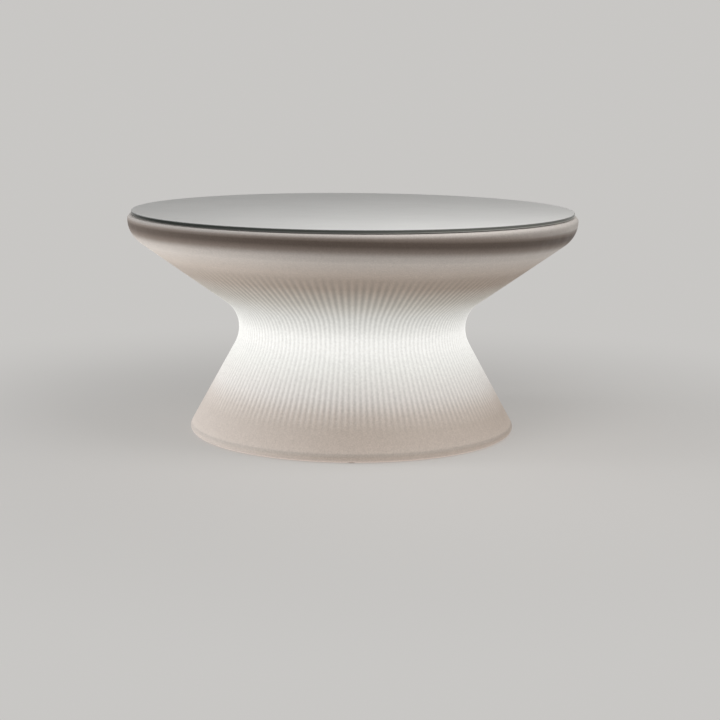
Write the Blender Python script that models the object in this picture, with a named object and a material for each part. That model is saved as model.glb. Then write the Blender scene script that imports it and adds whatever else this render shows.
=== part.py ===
"""Illuminated lounge coffee table: a moulded hourglass body with a loose glass top.

Metres, +Z up. The origin is on the floor, on the table's axis, and the front faces -Y.
The lamp unit hangs on a service plate in the underside of the body.
"""

import math

import bmesh
import bpy
from mathutils import Vector

# Gap left between two pieces that touch
SEAT_GAP = 0.0003

# Glass top and its pads
TABLE_HEIGHT = 0.4263
GLASS_RADIUS = 0.420
GLASS_THICKNESS = 0.006
GLASS_ARRIS = 0.0007
PAD_RADIUS = 0.008
PAD_THICKNESS = 0.001
PAD_EDGE = 0.0003
PAD_INSET = 0.030
PAD_COUNT = 6

# Body moulding
WALL = 0.005
RIM_MARGIN = 0.0073
RIM_NOSE_RADIUS = 0.008
RIM_UNDER_RADIUS = 0.0515
WAIST_RADIUS = 0.2178
WAIST_HEIGHT = 0.2022
WAIST_UPPER_RADIUS = 0.0626
WAIST_LOWER_RADIUS = 0.0714
BASE_RADIUS = 0.3113
TOE_RADIUS = 0.010
FOOT_WIDTH = 0.024
FOOT_FILLET = 0.008
RECESS_HEIGHT = 0.030
RECESS_SLANT = 0.004
RECESS_FILLET = 0.012

# Upright flutes round the waist, which run out towards rim and foot
FLUTE_COUNT = 156
FLUTE_DEPTH = 0.0009
FLUTE_TOP_DROP = 0.0837
FLUTE_FOOT_RISE = 0.0485
FLUTE_TOP_FADE = 0.020
FLUTE_FOOT_FADE = 0.025

# Glides under the foot ring
GLIDE_RADIUS = 0.010
GLIDE_THICKNESS = 0.0012
GLIDE_EDGE = 0.0003
GLIDE_COUNT = 6

# Vent in the underside and its plug
VENT_RADIUS = 0.005
VENT_INSET = 0.0533
VENT_ANGLE = math.radians(90)
VENT_HEAD_RADIUS = 0.009
VENT_HEAD_THICKNESS = 0.002
VENT_HEAD_EDGE = 0.0006
VENT_BARB = 0.0008
VENT_BARB_LENGTH = 0.003

# Service plate, its gasket, screws and inserts
SERVICE_MARGIN = 0.025
PLATE_OVERLAP = 0.023
PLATE_THICKNESS = 0.003
PLATE_EDGE = 0.0006
GASKET_THICKNESS = 0.0015
GASKET_INSET = 0.0015
SCREW_COUNT = 4
SCREW_ANGLE = math.radians(45)
SCREW_RADIUS = 0.002
SCREW_REACH = 0.0085
SCREW_HEAD_RADIUS = 0.0040
SCREW_HEAD_THICKNESS = 0.0026
SCREW_HEAD_EDGE = 0.0006
SCREW_DRIVE_RADIUS = 0.0015
SCREW_DRIVE_DEPTH = 0.0014
INSERT_WALL = 0.0013
INSERT_LENGTH = 0.009
BOSS_WALL = 0.0036
BOSS_ROOF = 0.002
BOSS_SINK = 0.002

# Housing over battery and electronics
UNIT_RADIUS = 0.090
UNIT_HEIGHT = 0.040
UNIT_WALL = 0.0025
UNIT_EDGE = 0.005
UNIT_LEAD_HOLE = 0.006
RING_WALL = 0.003
RING_HEIGHT = 0.0035
HOUSING_SCREW_COUNT = 3
HOUSING_SCREW_RADIUS = 0.0015
HOUSING_SCREW_REACH = 0.009
HOUSING_SCREW_HEAD_RADIUS = 0.0028
HOUSING_SCREW_HEAD_THICKNESS = 0.0018
HOUSING_SCREW_HEAD_EDGE = 0.0004
HOUSING_SCREW_DRIVE_RADIUS = 0.0011
HOUSING_SCREW_DRIVE_DEPTH = 0.001
HOUSING_BOSS_RADIUS = 0.005
HOUSING_BOSS_HEIGHT = 0.014
HOUSING_BOSS_SINK = 0.001
WALL_HOLE_RADIUS = 0.003
WALL_HOLE_RISE = 0.022
SECOND_HOLE_LIFT = 0.007

# Battery pack
CELL_RADIUS = 0.0092
CELL_LENGTH = 0.065
CELL_COUNT = 4
CELL_EDGE = 0.0006
CELL_PLAY = 0.0005
HOLDER_WALL = 0.002
HOLDER_CENTRE_X = -0.028
LID_THICKNESS = 0.0016
LID_EDGE = 0.0005

# Control board
BOARD_LENGTH = 0.060
BOARD_WIDTH = 0.052
BOARD_THICKNESS = 0.0016
STUD_RADIUS = 0.0025
STUD_HEIGHT = 0.006
STUD_INSET = 0.005
STUD_SINK = 0.001
PART_SINK = 0.0005
COIL_SIDE = 0.010
COIL_HEIGHT = 0.006
CHIP_SIDE = 0.008
CHIP_HEIGHT = 0.0014
PLUG_LENGTH = 0.007
PLUG_WIDTH = 0.005
PLUG_HEIGHT = 0.004

# Lamp on top of the housing
POST_RADIUS = 0.014
POST_HEIGHT = 0.118
POST_BORE = 0.005
POST_FOOT_RADIUS = 0.022
POST_FOOT_THICKNESS = 0.003
STRIP_COUNT = 3
STRIP_WIDTH = 0.011
STRIP_THICKNESS = 0.001
STRIP_FOOT = 0.006
STRIP_HEAD = 0.003
LED_COUNT = 6
LED_SIDE = 0.0035
LED_HEIGHT = 0.0008
LED_SINK = 0.0003
POST_BOARD_THICKNESS = 0.0016
DIFFUSER_RADIUS = 0.048
DIFFUSER_WALL = 0.002
DIFFUSER_HEIGHT = 0.148
DIFFUSER_DOME = 0.026
DIFFUSER_FOOT = 0.005
DIFFUSER_FOOT_THICKNESS = 0.002
SEAL_WIDTH = 0.004
SEAL_THICKNESS = 0.0015
COLLAR_WALL = 0.0025
COLLAR_LIP_THICKNESS = 0.0015
COLLAR_CLEARANCE = 0.0006
COLLAR_EDGE = 0.0005

# Power button
BUTTON_ANGLE = math.radians(-90)
BUTTON_RADIUS = 0.0055
BUTTON_TRAVEL = 0.0015
BUTTON_PROUD = 0.0022
BUTTON_EDGE = 0.0005
BUTTON_FLANGE = 0.0010
BUTTON_FLANGE_THICKNESS = 0.0014
BUTTON_STEM_RADIUS = 0.0014
BUTTON_STEM_LENGTH = 0.0035
SLIDE_GAP = 0.0004
BEZEL_WALL = 0.0012
BEZEL_FLANGE = 0.0022
BEZEL_FLANGE_THICKNESS = 0.0014
BEZEL_SHOULDER = 0.0012
BEZEL_RISE = 0.009
BEZEL_EDGE = 0.0004
NUT_WALL = 0.0018
NUT_THICKNESS = 0.0028
SWITCH_CAP_THICKNESS = 0.002

# Charging socket and its cap
SOCKET_ANGLE = math.radians(-113)
SOCKET_BORE = 0.0032
SOCKET_DEPTH = 0.009
SOCKET_WALL = 0.0020
SOCKET_RISE = 0.011
SOCKET_FLANGE = 0.0022
SOCKET_FLANGE_THICKNESS = 0.0012
SOCKET_PIN_RADIUS = 0.0010
SOCKET_PIN_INSET = 0.0030
CAP_MARGIN = 0.0010
CAP_THICKNESS = 0.0016
CAP_NUB_PLAY = 0.0006
CAP_NUB_LENGTH = 0.0016
CAP_NUB_SINK = 0.0004
CAP_TAB_LENGTH = 0.0045
CAP_TAB_WIDTH = 0.007
ANCHOR_THICKNESS = 0.0010
ANCHOR_BLOCK_LENGTH = 0.0025

# Window of the charge light
WINDOW_ANGLE = math.radians(-69)
WINDOW_RADIUS = 0.0045
WINDOW_PROUD = 0.0012
WINDOW_EDGE = 0.0006
WINDOW_STEM_RADIUS = 0.0030
WINDOW_STEM_RISE = 0.0025

# Leads inside the unit
LEAD_RADIUS = 0.0015
LEAD_REACH = 0.007
LEAD_CLEARANCE = 0.004
LEAD_STEPS = 3

# Facets and overruns
FLUTE_SIDES = 2 * FLUTE_COUNT
BODY_SIDES = FLUTE_SIDES // 3
GLASS_SIDES = 80
UNIT_SIDES = 36
LAMP_SIDES = 24
SMALL_SIDES = 16
SCREW_SIDES = 12
CUT_OVERRUN = 0.002
HOLE_CLEARANCE = 0.0004

# Heights that follow, from the floor up
FOOT_Z = GLIDE_THICKNESS + SEAT_GAP
GLASS_Z = TABLE_HEIGHT - GLASS_THICKNESS
PAD_Z = GLASS_Z - SEAT_GAP - PAD_THICKNESS
LAND_Z = PAD_Z - SEAT_GAP
GASKET_Z = RECESS_HEIGHT - SEAT_GAP - GASKET_THICKNESS
PLATE_TOP = GASKET_Z - SEAT_GAP
PLATE_Z = PLATE_TOP - PLATE_THICKNESS
UNIT_Z = PLATE_TOP + SEAT_GAP
UNIT_TOP = UNIT_Z + UNIT_HEIGHT
CEILING_Z = UNIT_TOP - UNIT_WALL

# Radii that follow, from the axis out
RIM_RADIUS = GLASS_RADIUS + RIM_MARGIN
SERVICE_RADIUS = UNIT_RADIUS + SERVICE_MARGIN
PLATE_RADIUS = SERVICE_RADIUS + PLATE_OVERLAP
SCREW_CIRCLE = (SERVICE_RADIUS + PLATE_RADIUS) / 2
CONTROL_CIRCLE = (UNIT_RADIUS + SERVICE_RADIUS) / 2
FOOT_OUTER = BASE_RADIUS - TOE_RADIUS
FOOT_INNER = FOOT_OUTER - FOOT_WIDTH
RECESS_RADIUS = FOOT_INNER - FOOT_FILLET - RECESS_SLANT - RECESS_FILLET
VENT_CIRCLE = RECESS_RADIUS - VENT_INSET


def material(name, colour, roughness, metallic=0.0):
    """A plain surface of one colour."""
    made = bpy.data.materials.new(name)
    made.use_nodes = True
    shader = made.node_tree.nodes["Principled BSDF"]
    shader.inputs["Base Color"].default_value = (*colour, 1)
    shader.inputs["Roughness"].default_value = roughness
    shader.inputs["Metallic"].default_value = metallic
    return made


def bridge(shape, first, second):
    """Faces between two rings of points, where the longer ring is a multiple of the shorter."""
    if len(first) > len(second):
        first, second = second, first
    ratio = len(second) // len(first)
    half = ratio // 2
    for index, point in enumerate(first):
        following = first[(index + 1) % len(first)]
        outer = [second[(index * ratio + step) % len(second)] for step in range(ratio + 1)]
        if ratio == 1:
            shape.faces.new((point, following, outer[1], outer[0]))
            continue
        for step in range(ratio):
            hub = point if step < half else following
            shape.faces.new((hub, outer[step + 1], outer[step]))
        shape.faces.new((point, following, outer[half]))


def solid(name, rows, finish, closed=False):
    """A closed solid through rings of points. Its ends are capped, or joined when closed is set."""
    shape = bmesh.new()
    rings = [[shape.verts.new(point) for point in row] for row in rows]
    for first, second in zip(rings, rings[1:]):
        bridge(shape, first, second)
    if closed:
        bridge(shape, rings[-1], rings[0])
    else:
        shape.faces.new(rings[0])
        shape.faces.new(rings[-1])
    bmesh.ops.recalc_face_normals(shape, faces=shape.faces)
    mesh = bpy.data.meshes.new(name)
    shape.to_mesh(mesh)
    shape.free()
    mesh.shade_smooth()
    mesh.set_sharp_from_angle(angle=math.radians(35))
    mesh.materials.append(finish)
    made = bpy.data.objects.new(name, mesh)
    bpy.context.collection.objects.link(made)
    return made


def copy_of(source, name):
    """Another object with the same mesh."""
    made = bpy.data.objects.new(name, source.data)
    bpy.context.collection.objects.link(made)
    return made


def ring(radius, height, sides, flats=0):
    """A level ring of points, the first at the front. With flats it runs round that many flat sides."""
    points = []
    for index in range(sides):
        angle = 2 * math.pi * index / sides
        reach = radius
        if flats:
            part = 2 * math.pi / flats
            reach = radius * math.cos(part / 2) / math.cos(angle % part - part / 2)
        points.append((reach * math.sin(angle), -reach * math.cos(angle), height))
    return points


def rings(outline, sides):
    """Level rings for an outline of (radius, height) points."""
    return [ring(radius, height, sides) for radius, height in outline]


def box_rows(length, width, bottom, top, centre_x=0.0, centre_y=0.0):
    """The lower and upper corners of an upright box."""
    return [
        [
            (centre_x - length / 2, centre_y - width / 2, height),
            (centre_x + length / 2, centre_y - width / 2, height),
            (centre_x + length / 2, centre_y + width / 2, height),
            (centre_x - length / 2, centre_y + width / 2, height),
        ]
        for height in (bottom, top)
    ]


def arc(centre, radius, start, end, steps):
    """Points of an arc in (radius, height), with angles from outwards towards up."""
    angles = [start + (end - start) * step / steps for step in range(steps + 1)]
    return [(centre[0] + radius * math.cos(a), centre[1] + radius * math.sin(a)) for a in angles]


def polar(radius, angle):
    """The point at a radius and an angle from +X."""
    return Vector((radius * math.cos(angle), radius * math.sin(angle), 0.0))


def around(count, radius, first_angle):
    """Evenly spaced places round the axis."""
    return [polar(radius, first_angle + 2 * math.pi * index / count) for index in range(count)]


def hide(helper):
    """Marks a cutter or a guide, which isn't a piece of the table."""
    helper.hide_render = True
    helper.display_type = "WIRE"
    return helper


def bodies(name, row_sets, finish):
    """A hidden helper that holds several separate closed bodies."""
    shape = bmesh.new()
    for rows in row_sets:
        ends = [[shape.verts.new(point) for point in row] for row in rows]
        for first, second in zip(ends, ends[1:]):
            bridge(shape, first, second)
        shape.faces.new(ends[0])
        shape.faces.new(ends[-1])
    bmesh.ops.recalc_face_normals(shape, faces=shape.faces)
    mesh = bpy.data.meshes.new(name)
    shape.to_mesh(mesh)
    shape.free()
    mesh.materials.append(finish)
    made = bpy.data.objects.new(name, mesh)
    bpy.context.collection.objects.link(made)
    return hide(made)


def pegs(name, places, radius, bottom, top, finish):
    """A hidden helper with an upright peg at each place."""
    row_sets = []
    for place in places:
        offset = Vector((place[0], place[1], 0.0))
        ends = rings([(radius, bottom), (radius, top)], SCREW_SIDES)
        row_sets.append([[Vector(point) + offset for point in end] for end in ends])
    return bodies(name, row_sets, finish)


def combine(target, helper, operation):
    """Joins a helper to a piece, or cuts it out of the piece."""
    modifier = target.modifiers.new(helper.name, "BOOLEAN")
    modifier.operation = operation
    modifier.solver = "EXACT"
    modifier.object = helper


def place(piece, location, turn=0.0):
    """Puts a piece at its place, turned about its upright axis."""
    piece.location = location
    piece.rotation_euler = (0.0, 0.0, turn)
    return piece


def straight_normal(convex, convex_radius, hollow, hollow_radius, side):
    """The outward normal's angle on the straight wall between a convex arc and a hollow one."""
    across = hollow[0] - convex[0]
    up = hollow[1] - convex[1]
    distance = math.hypot(across, up)
    return math.atan2(up, across) + side * math.acos((convex_radius + hollow_radius) / distance)


def body_skin(depth, coarse):
    """The body's section at a depth under its outer face, from its top's edge to the service hole."""
    nose = (RIM_RADIUS - RIM_NOSE_RADIUS, LAND_Z - RIM_NOSE_RADIUS)
    under = (RIM_RADIUS - RIM_UNDER_RADIUS, nose[1])
    upper_waist = (WAIST_RADIUS + WAIST_UPPER_RADIUS, WAIST_HEIGHT)
    lower_waist = (WAIST_RADIUS + WAIST_LOWER_RADIUS, WAIST_HEIGHT)
    toe = (FOOT_OUTER, FOOT_Z + TOE_RADIUS)
    foot = (FOOT_INNER, FOOT_Z + FOOT_FILLET)
    recess = (RECESS_RADIUS, RECESS_HEIGHT - RECESS_FILLET)
    upper = straight_normal(under, RIM_UNDER_RADIUS, upper_waist, WAIST_UPPER_RADIUS, 1)
    lower = straight_normal(toe, TOE_RADIUS, lower_waist, WAIST_LOWER_RADIUS, -1)
    inward = straight_normal(foot, FOOT_FILLET, recess, RECESS_FILLET, 1)
    quarter = math.pi / 2
    down = 3 * quarter
    half = math.pi
    rim = arc(nose, RIM_NOSE_RADIUS - depth, quarter, 0, 3 // coarse)
    rim += arc(under, RIM_UNDER_RADIUS - depth, 0, upper, 3 // coarse)[1:]
    waist = arc(upper_waist, WAIST_UPPER_RADIUS + depth, upper + half, half, 4 // coarse)
    waist += arc(lower_waist, WAIST_LOWER_RADIUS + depth, half, lower + half, 3 // coarse)[1:]
    underside = arc(toe, TOE_RADIUS - depth, lower, -quarter, 3 // coarse)
    underside += arc(foot, FOOT_FILLET - depth, down, inward, 2 // coarse)
    underside += arc(recess, RECESS_FILLET + depth, inward - half, quarter, 2 // coarse)
    underside.append((SERVICE_RADIUS, RECESS_HEIGHT + depth))
    return rim, waist, underside


def between_points(first, second, height):
    """The point at a height on the straight wall between two points of the section."""
    share = (height - first[1]) / (second[1] - first[1])
    return (first[0] + (second[0] - first[0]) * share, height)


def fluted_ring(radius, height, depth):
    """A level ring with a ridge and a valley for each flute, the first ridge at the front."""
    crests = ring(radius, height, FLUTE_SIDES)
    valleys = ring(radius - depth, height, FLUTE_SIDES)
    return [valleys[index] if index % 2 else crests[index] for index in range(FLUTE_SIDES)]


def outer_rows():
    """Rings of the outer face: the rim, the fluted waist, then foot and underside."""
    rim, waist, underside = body_skin(0.0, 1)
    top = LAND_Z - FLUTE_TOP_DROP
    foot = FOOT_Z + FLUTE_FOOT_RISE
    above_waist = [between_points(rim[-1], waist[0], height) for height in (top, top - FLUTE_TOP_FADE)]
    low_heights = (foot + FLUTE_FOOT_FADE, foot)
    below_waist = [between_points(waist[-1], underside[0], height) for height in low_heights]
    rows = rings(rim, BODY_SIDES)
    rows.append(fluted_ring(*above_waist[0], 0.0))
    for radius, height in [above_waist[1], *waist, below_waist[0]]:
        rows.append(fluted_ring(radius, height, FLUTE_DEPTH))
    rows.append(fluted_ring(*below_waist[1], 0.0))
    toe_steps = 4
    rows += rings(underside[:toe_steps], BODY_SIDES)
    rows += rings(underside[toe_steps:], BODY_SIDES // 2)
    return rows


def make_body(finish):
    """The hollow moulding, with the bosses for the inserts round its service hole."""
    rim, waist, underside = body_skin(WALL, 2)
    inner = rings([*rim, *waist, *underside][::-1], BODY_SIDES // 2)
    body = solid("body_shell", outer_rows() + inner, finish)
    places = around(SCREW_COUNT, SCREW_CIRCLE, SCREW_ANGLE)
    hole = SCREW_RADIUS + SEAT_GAP + INSERT_WALL + SEAT_GAP
    hole_top = RECESS_HEIGHT + INSERT_LENGTH + SEAT_GAP
    ceiling = RECESS_HEIGHT + WALL
    boss = hole + BOSS_WALL
    bosses = pegs("boss_guide", places, boss, ceiling - BOSS_SINK, hole_top + BOSS_ROOF, finish)
    combine(body, bosses, "UNION")
    holes = pegs("boss_cutter", places, hole, RECESS_HEIGHT - CUT_OVERRUN, hole_top, finish)
    combine(body, holes, "DIFFERENCE")
    vent_place = [polar(VENT_CIRCLE, VENT_ANGLE)]
    low = RECESS_HEIGHT - CUT_OVERRUN
    vent = pegs("vent_cutter", vent_place, VENT_RADIUS, low, ceiling + CUT_OVERRUN, finish)
    combine(body, vent, "DIFFERENCE")


def make_vent_plug(finish):
    """A snap plug whose barb sits above the underside's wall."""
    stem = VENT_RADIUS - SEAT_GAP
    seat = -SEAT_GAP
    barb_z = WALL + SEAT_GAP
    outline = [
        (VENT_HEAD_RADIUS - VENT_HEAD_EDGE, seat - VENT_HEAD_THICKNESS),
        (VENT_HEAD_RADIUS, seat - VENT_HEAD_THICKNESS + VENT_HEAD_EDGE),
        (VENT_HEAD_RADIUS, seat),
        (stem, seat),
        (stem, barb_z),
        (stem + VENT_BARB, barb_z),
        (stem - VENT_BARB, barb_z + VENT_BARB_LENGTH),
    ]
    plug = solid("vent_plug", rings(outline, SMALL_SIDES), finish)
    place(plug, polar(VENT_CIRCLE, VENT_ANGLE) + Vector((0, 0, RECESS_HEIGHT)))


def make_glass(finish):
    """The loose glass disc with its ground arris."""
    outline = [
        (GLASS_RADIUS - GLASS_ARRIS, 0),
        (GLASS_RADIUS, GLASS_ARRIS),
        (GLASS_RADIUS, GLASS_THICKNESS - GLASS_ARRIS),
        (GLASS_RADIUS - GLASS_ARRIS, GLASS_THICKNESS),
    ]
    place(solid("glass_top", rings(outline, GLASS_SIDES), finish), (0, 0, GLASS_Z))


def make_pads(finish):
    """Clear pads between the body and the glass."""
    outline = [
        (PAD_RADIUS, 0),
        (PAD_RADIUS, PAD_THICKNESS - PAD_EDGE),
        (PAD_RADIUS - PAD_EDGE, PAD_THICKNESS),
    ]
    first = solid("glass_pad_1", rings(outline, SMALL_SIDES), finish)
    for index, spot in enumerate(around(PAD_COUNT, GLASS_RADIUS - PAD_INSET, BUTTON_ANGLE)):
        pad = first if index == 0 else copy_of(first, f"glass_pad_{index + 1}")
        place(pad, spot + Vector((0, 0, PAD_Z)))


def make_glides(finish):
    """Rubber glides under the middle of the foot ring."""
    outline = [
        (GLIDE_RADIUS - GLIDE_EDGE, 0),
        (GLIDE_RADIUS, GLIDE_EDGE),
        (GLIDE_RADIUS, GLIDE_THICKNESS),
    ]
    first = solid("foot_glide_1", rings(outline, SMALL_SIDES), finish)
    for index, spot in enumerate(around(GLIDE_COUNT, (FOOT_OUTER + FOOT_INNER) / 2, BUTTON_ANGLE)):
        glide = first if index == 0 else copy_of(first, f"foot_glide_{index + 1}")
        place(glide, spot)


def housing_screw_circle():
    """The circle of the housing's bosses, which merge with its wall."""
    return UNIT_RADIUS - HOUSING_BOSS_SINK - HOUSING_BOSS_RADIUS


def board_centre_x():
    """The board lies between the battery holder and the housing's wall."""
    holder_end = HOLDER_CENTRE_X + holder_length() / 2
    wall_face = housing_screw_circle() - HOUSING_BOSS_RADIUS
    return (holder_end + wall_face) / 2


def board_corners():
    """The places of the studs that carry the control board."""
    reach_x = BOARD_WIDTH / 2 - STUD_INSET
    reach_y = BOARD_LENGTH / 2 - STUD_INSET
    middle = board_centre_x()
    return [(middle + x, y) for x in (-reach_x, reach_x) for y in (-reach_y, reach_y)]


def make_plate(finish):
    """The service plate, drilled for the screws and the controls, with studs for the board."""
    outline = [
        (PLATE_RADIUS - PLATE_EDGE, PLATE_Z),
        (PLATE_RADIUS, PLATE_Z + PLATE_EDGE),
        (PLATE_RADIUS, PLATE_TOP),
    ]
    plate = solid("service_plate", rings(outline, UNIT_SIDES), finish)
    stud_low = PLATE_TOP - STUD_SINK
    stud_top = PLATE_TOP + STUD_HEIGHT
    studs = pegs("stud_guide", board_corners(), STUD_RADIUS, stud_low, stud_top, finish)
    combine(plate, studs, "UNION")
    bottom = PLATE_Z - CUT_OVERRUN
    top = PLATE_TOP + CUT_OVERRUN
    screws = around(SCREW_COUNT, SCREW_CIRCLE, SCREW_ANGLE)
    small_screws = around(HOUSING_SCREW_COUNT, housing_screw_circle(), 0.0)
    cuts = (
        ("screw_cutter", screws, SCREW_RADIUS + HOLE_CLEARANCE),
        ("housing_screw_cutter", small_screws, HOUSING_SCREW_RADIUS + HOLE_CLEARANCE),
        ("button_cutter", [polar(CONTROL_CIRCLE, BUTTON_ANGLE)], bezel_radius() + HOLE_CLEARANCE),
        ("socket_cutter", [polar(CONTROL_CIRCLE, SOCKET_ANGLE)], socket_radius() + HOLE_CLEARANCE),
        ("window_cutter", [polar(CONTROL_CIRCLE, WINDOW_ANGLE)], WINDOW_STEM_RADIUS + HOLE_CLEARANCE),
    )
    for name, places, radius in cuts:
        combine(plate, pegs(name, places, radius, bottom, top, finish), "DIFFERENCE")


def make_gasket(finish):
    """The flat seal between the plate and the body."""
    outline = [
        (SERVICE_RADIUS + GASKET_INSET, GASKET_Z),
        (PLATE_RADIUS - GASKET_INSET, GASKET_Z),
        (PLATE_RADIUS - GASKET_INSET, GASKET_Z + GASKET_THICKNESS),
        (SERVICE_RADIUS + GASKET_INSET, GASKET_Z + GASKET_THICKNESS),
    ]
    gasket = solid("plate_gasket", rings(outline, UNIT_SIDES), finish, closed=True)
    places = around(SCREW_COUNT, SCREW_CIRCLE, SCREW_ANGLE)
    bottom = GASKET_Z - CUT_OVERRUN
    top = RECESS_HEIGHT + CUT_OVERRUN
    holes = pegs("gasket_cutter", places, SCREW_RADIUS + HOLE_CLEARANCE, bottom, top, finish)
    combine(gasket, holes, "DIFFERENCE")


def screw_rows(radius, reach, head_radius, head, edge, drive_radius, drive_depth):
    """A screw that points up from its head's seat at zero, with a six-sided drive in the head."""
    return [
        ring(drive_radius, drive_depth - head, SCREW_SIDES, 6),
        ring(drive_radius, -head, SCREW_SIDES, 6),
        ring(head_radius - edge, -head, SCREW_SIDES),
        ring(head_radius, edge - head, SCREW_SIDES),
        ring(head_radius, 0, SCREW_SIDES),
        ring(radius, 0, SCREW_SIDES),
        ring(radius, reach, SCREW_SIDES),
    ]


def make_screws(finish):
    """The plate's screws, from below into the inserts."""
    reach = RECESS_HEIGHT + SCREW_REACH - PLATE_Z
    rows = screw_rows(
        SCREW_RADIUS,
        reach,
        SCREW_HEAD_RADIUS,
        SCREW_HEAD_THICKNESS,
        SCREW_HEAD_EDGE,
        SCREW_DRIVE_RADIUS,
        SCREW_DRIVE_DEPTH,
    )
    first = solid("plate_screw_1", rows, finish)
    for index, spot in enumerate(around(SCREW_COUNT, SCREW_CIRCLE, SCREW_ANGLE)):
        screw = first if index == 0 else copy_of(first, f"plate_screw_{index + 1}")
        place(screw, spot + Vector((0, 0, PLATE_Z - SEAT_GAP)))


def make_inserts(finish):
    """Brass inserts in the body's bosses."""
    bore = SCREW_RADIUS + SEAT_GAP
    outline = [
        (bore, 0),
        (bore + INSERT_WALL, 0),
        (bore + INSERT_WALL, INSERT_LENGTH),
        (bore, INSERT_LENGTH),
    ]
    first = solid("thread_insert_1", rings(outline, SCREW_SIDES), finish, closed=True)
    for index, spot in enumerate(around(SCREW_COUNT, SCREW_CIRCLE, SCREW_ANGLE)):
        insert = first if index == 0 else copy_of(first, f"thread_insert_{index + 1}")
        place(insert, spot + Vector((0, 0, RECESS_HEIGHT)))


def diffuser_foot_radius():
    """The outer radius of the diffuser's foot."""
    return DIFFUSER_RADIUS + DIFFUSER_FOOT


def ring_inner_radius():
    """The bore of the housing's raised ring, round the diffuser's foot."""
    return diffuser_foot_radius() + SEAT_GAP


def lead_hole(angle, rise):
    """A level cutter rod through the housing's wall."""
    height = UNIT_Z + rise
    inner = polar(UNIT_RADIUS - UNIT_WALL - CUT_OVERRUN, angle)
    outer = polar(UNIT_RADIUS + CUT_OVERRUN, angle)
    side = Vector((-math.sin(angle), math.cos(angle), 0.0))
    rows = []
    for middle in (inner, outer):
        turns = [2 * math.pi * index / SCREW_SIDES for index in range(SCREW_SIDES)]
        row = []
        for turn in turns:
            across = side * WALL_HOLE_RADIUS * math.cos(turn)
            up = Vector((0, 0, WALL_HOLE_RADIUS * math.sin(turn) + height))
            row.append(middle + across + up)
        rows.append(row)
    return rows


def make_housing(finish):
    """The cover over battery and board, with the raised ring that the lamp sits in."""
    inner = UNIT_RADIUS - UNIT_WALL
    ring_inner = ring_inner_radius()
    ring_outer = ring_inner + RING_WALL
    ring_top = UNIT_TOP + RING_HEIGHT
    corner = (UNIT_RADIUS - UNIT_EDGE, UNIT_TOP - UNIT_EDGE)
    outline = [
        (UNIT_LEAD_HOLE, UNIT_TOP),
        (ring_inner, UNIT_TOP),
        (ring_inner, ring_top),
        (ring_outer, ring_top),
        (ring_outer, UNIT_TOP),
    ]
    outline += arc(corner, UNIT_EDGE, math.pi / 2, 0, 3)
    outline += [(UNIT_RADIUS, UNIT_Z), (inner, UNIT_Z)]
    outline += arc(corner, UNIT_EDGE - UNIT_WALL, 0, math.pi / 2, 1)
    outline.append((UNIT_LEAD_HOLE, CEILING_Z))
    housing = solid("unit_housing", rings(outline, UNIT_SIDES), finish, closed=True)
    places = around(HOUSING_SCREW_COUNT, housing_screw_circle(), 0.0)
    low = UNIT_Z + SEAT_GAP
    high = UNIT_Z + HOUSING_BOSS_HEIGHT
    combine(housing, pegs("housing_boss_guide", places, HOUSING_BOSS_RADIUS, low, high, finish), "UNION")
    hole_top = UNIT_Z + HOUSING_SCREW_REACH + HOLE_CLEARANCE
    hole = HOUSING_SCREW_RADIUS + HOLE_CLEARANCE
    cutter = pegs("housing_boss_cutter", places, hole, UNIT_Z - CUT_OVERRUN, hole_top, finish)
    combine(housing, cutter, "DIFFERENCE")
    switch_rod = lead_hole(BUTTON_ANGLE, WALL_HOLE_RISE)
    socket_rod = lead_hole(SOCKET_ANGLE, WALL_HOLE_RISE + SECOND_HOLE_LIFT)
    combine(housing, bodies("lead_cutter", [switch_rod, socket_rod], finish), "DIFFERENCE")


def make_housing_screws(finish):
    """Small screws from below the plate into the housing's bosses."""
    rows = screw_rows(
        HOUSING_SCREW_RADIUS,
        UNIT_Z + HOUSING_SCREW_REACH - PLATE_Z,
        HOUSING_SCREW_HEAD_RADIUS,
        HOUSING_SCREW_HEAD_THICKNESS,
        HOUSING_SCREW_HEAD_EDGE,
        HOUSING_SCREW_DRIVE_RADIUS,
        HOUSING_SCREW_DRIVE_DEPTH,
    )
    first = solid("housing_screw_1", rows, finish)
    for index, spot in enumerate(around(HOUSING_SCREW_COUNT, housing_screw_circle(), 0.0)):
        screw = first if index == 0 else copy_of(first, f"housing_screw_{index + 1}")
        place(screw, spot + Vector((0, 0, PLATE_Z - SEAT_GAP)))


def cell_pitch():
    """The distance from one cell's axis to the next."""
    return 2 * CELL_RADIUS + CELL_PLAY


def holder_length():
    """The battery holder's size along X, across its cells."""
    return CELL_COUNT * cell_pitch() + CELL_PLAY + 2 * HOLDER_WALL


def holder_width():
    """The battery holder's size along Y, along its cells."""
    return CELL_LENGTH + 2 * CELL_PLAY + 2 * HOLDER_WALL


def holder_top():
    """The height of the battery holder's upper edge."""
    return UNIT_Z + HOLDER_WALL + 2 * CELL_RADIUS + 2 * SEAT_GAP


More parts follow.
